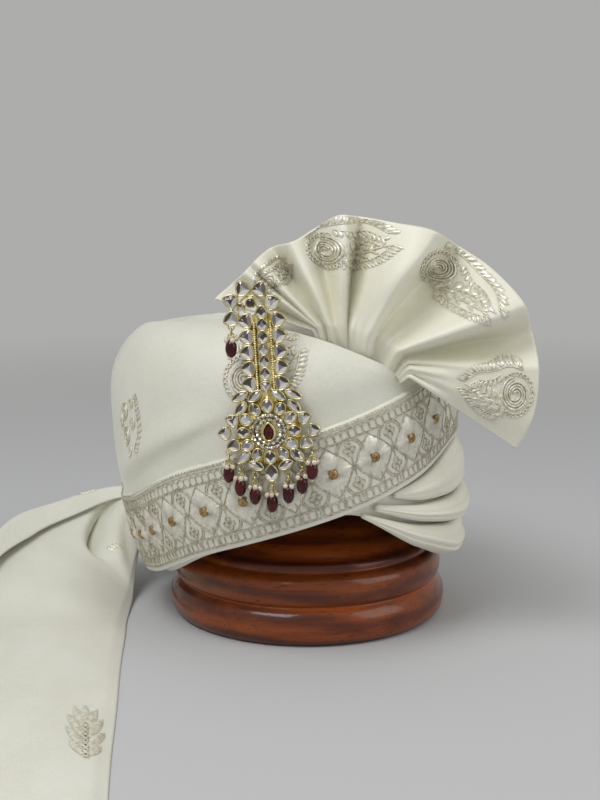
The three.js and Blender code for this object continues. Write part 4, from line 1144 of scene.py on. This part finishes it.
link_parts, bead_parts, pearl_parts, wire_parts = [], [], [], []
link_drop = LINK + EYELET - 2 * WIRE - 0.35
bead_drop = 2 * link_drop
hung = [
    (-22.9, -10.8), (-17, -18.4), (-9.2, -23.3), (0, -27.9), (9.2, -23.3), (17, -18.4), (22.9, -10.8),
    (-17, 57.2),
]  # fmt: skip
for across, up in hung:
    gilt_parts.append(moved(ring_wire(EYELET), (across, up, PLATE / 2)))
    eye = np.array(upright.inverted() @ rolled @ Vector((across, up, PLATE / 2)))
    link_parts.append(moved(ring_wire(LINK, turn=90), eye - [0, link_drop, 0]))
    head = eye - [0, bead_drop, 0]
    wire_parts.append(moved(ring_wire(EYELET, turn=12), head))
    middle = head - [0, EYELET + BEAD_LONG / 2, 0]
    bead_parts.append(moved(ball(BEAD_WIDE, BEAD_LONG, 18, 28), middle))
    start = lucky.uniform(0, 360)
    for i in range(4):
        angle = np.radians(start + 90 * i + lucky.uniform(-14, 14))
        size = lucky.uniform(2.6, 3.2)
        at = middle + [2.7 * np.cos(angle), BEAD_LONG * 0.44 + lucky.uniform(-0.5, 0.7), 2.3 * np.sin(angle)]
        pearl_parts.append(moved(ball(size, size, 8, 12), at))
        wire_parts.append(moved(ring_wire(0.75, 0.24, lucky.uniform(0, 180), 8), at + [0, size / 2 + 0.2, 0]))
    pearl_parts.append(moved(ball(1.9, 1.7, 8, 12), middle - [0, BEAD_LONG / 2 + 0.3, 0]))
    wire_parts.append(moved(ball(0.9, 0.7, 5, 8), middle - [0, BEAD_LONG / 2 + 1.2, 0]))


def brooch_piece(name, parts, frame_of, material, *nodes, slot=None, flat=False):
    points, faces = merged(parts)
    piece = mesh_object(name, set_in(frame_of, points), faces, flat=flat)
    piece.data.materials.append(material)
    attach(piece, "root")
    if nodes:
        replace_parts(piece, *nodes)
    return piece


gilt, make, shader = surface("gilt_metal", Metallic=1.0)
place = make.node("ShaderNodeTexCoord", output=3)
worn = place.noise(260, 3)
joined(shader, Base_Color=worn.between(0.3, 0.75).mix((0.55, 0.46, 0.2, 1), (0.92, 0.83, 0.52, 1)))
joined(shader, Roughness=worn * 0.25 + 0.14, Normal=place.noise(900, 2).bump(0.15, 0.0002))
brooch_piece("brooch_gilt", gilt_parts, rolled, gilt, "brooch_setting", slot="gilt_metal")
link_nodes = [f"drop_link_{i}" for i in range(1, 9)]
brooch_piece("drop_wires", link_parts, upright, gilt, *link_nodes, slot="gilt_metal")
brooch_piece("bead_wires", wire_parts, upright, gilt, slot="gilt_metal")

glass, make, shader = surface(
    "foiled_glass", Metallic=0.9, Roughness=0.09, Coat_Weight=1.0, Coat_Roughness=0.02
)
# The stones' colour runs from dark to light by this attribute: the foil's own shade with a painted reflection
# on the bevel facets.
tone = make.node("ShaderNodeAttribute", output=2, attribute_name="foil_and_reflection")
joined(shader, Base_Color=tone.between(0.12, 0.85).mix((0.085, 0.07, 0.065, 1), (0.98, 0.95, 0.91, 1)))
clear = brooch_piece("brooch_stones", clear_parts, rolled, glass, flat=True)
clear.data.attributes.new("foil_and_reflection", "FLOAT", "FACE").data.foreach_set("value", foil_and_reflection)

jet, make, shader = surface("dark_glass", Roughness=0.06, Coat_Weight=1.0)
tone = make.node("ShaderNodeTexCoord", output=3).noise(300, 2)
joined(shader, Base_Color=tone.mix((0.006, 0.002, 0.003, 1), (0.03, 0.008, 0.01, 1)))
dark_dome = moved(dome(2.15, 1.2, 5, 24), (*DARK_STONE, BEZEL - 0.1))
brooch_piece("brooch_dark_stone", [dark_dome], rolled, jet)

red, make, shader = surface("red_glass", Roughness=0.04, Specular_IOR_Level=0.42)
cloudy = make.node("ShaderNodeTexCoord", output=3).noise(240, 3)
joined(shader, Base_Color=cloudy.between(0.3, 0.75).mix((0.03, 0.0008, 0.0015, 1), (0.085, 0.0018, 0.003, 1)))
gem_rings = ((0, 2.3), (-0.15, 2.7), (-0.9, 3.3), (-1.6, 3.55), (-2.4, 3.6))
gem = stacked(drop_outline, gem_rings)
brooch_piece("ruby_drop_stone", [gem], rolled, red, "ruby_centre", slot="red_glass")
bead_nodes = [f"ruby_drop_{i}" for i in range(1, 9)]
brooch_piece("red_beads", bead_parts, upright, red, *bead_nodes, slot="red_glass")

nacre, make, shader = surface(
    "pearl", Roughness=0.22, Coat_Weight=0.6, Coat_Roughness=0.1, Subsurface_Weight=0.1
)
cloudy = make.node("ShaderNodeTexCoord", output=3).noise(350, 2)
joined(shader, Base_Color=cloudy.between(0.3, 0.7).mix((0.62, 0.5, 0.41, 1), (0.8, 0.7, 0.58, 1)))
brooch_piece("brooch_pearls", pearl_parts, upright, nacre)
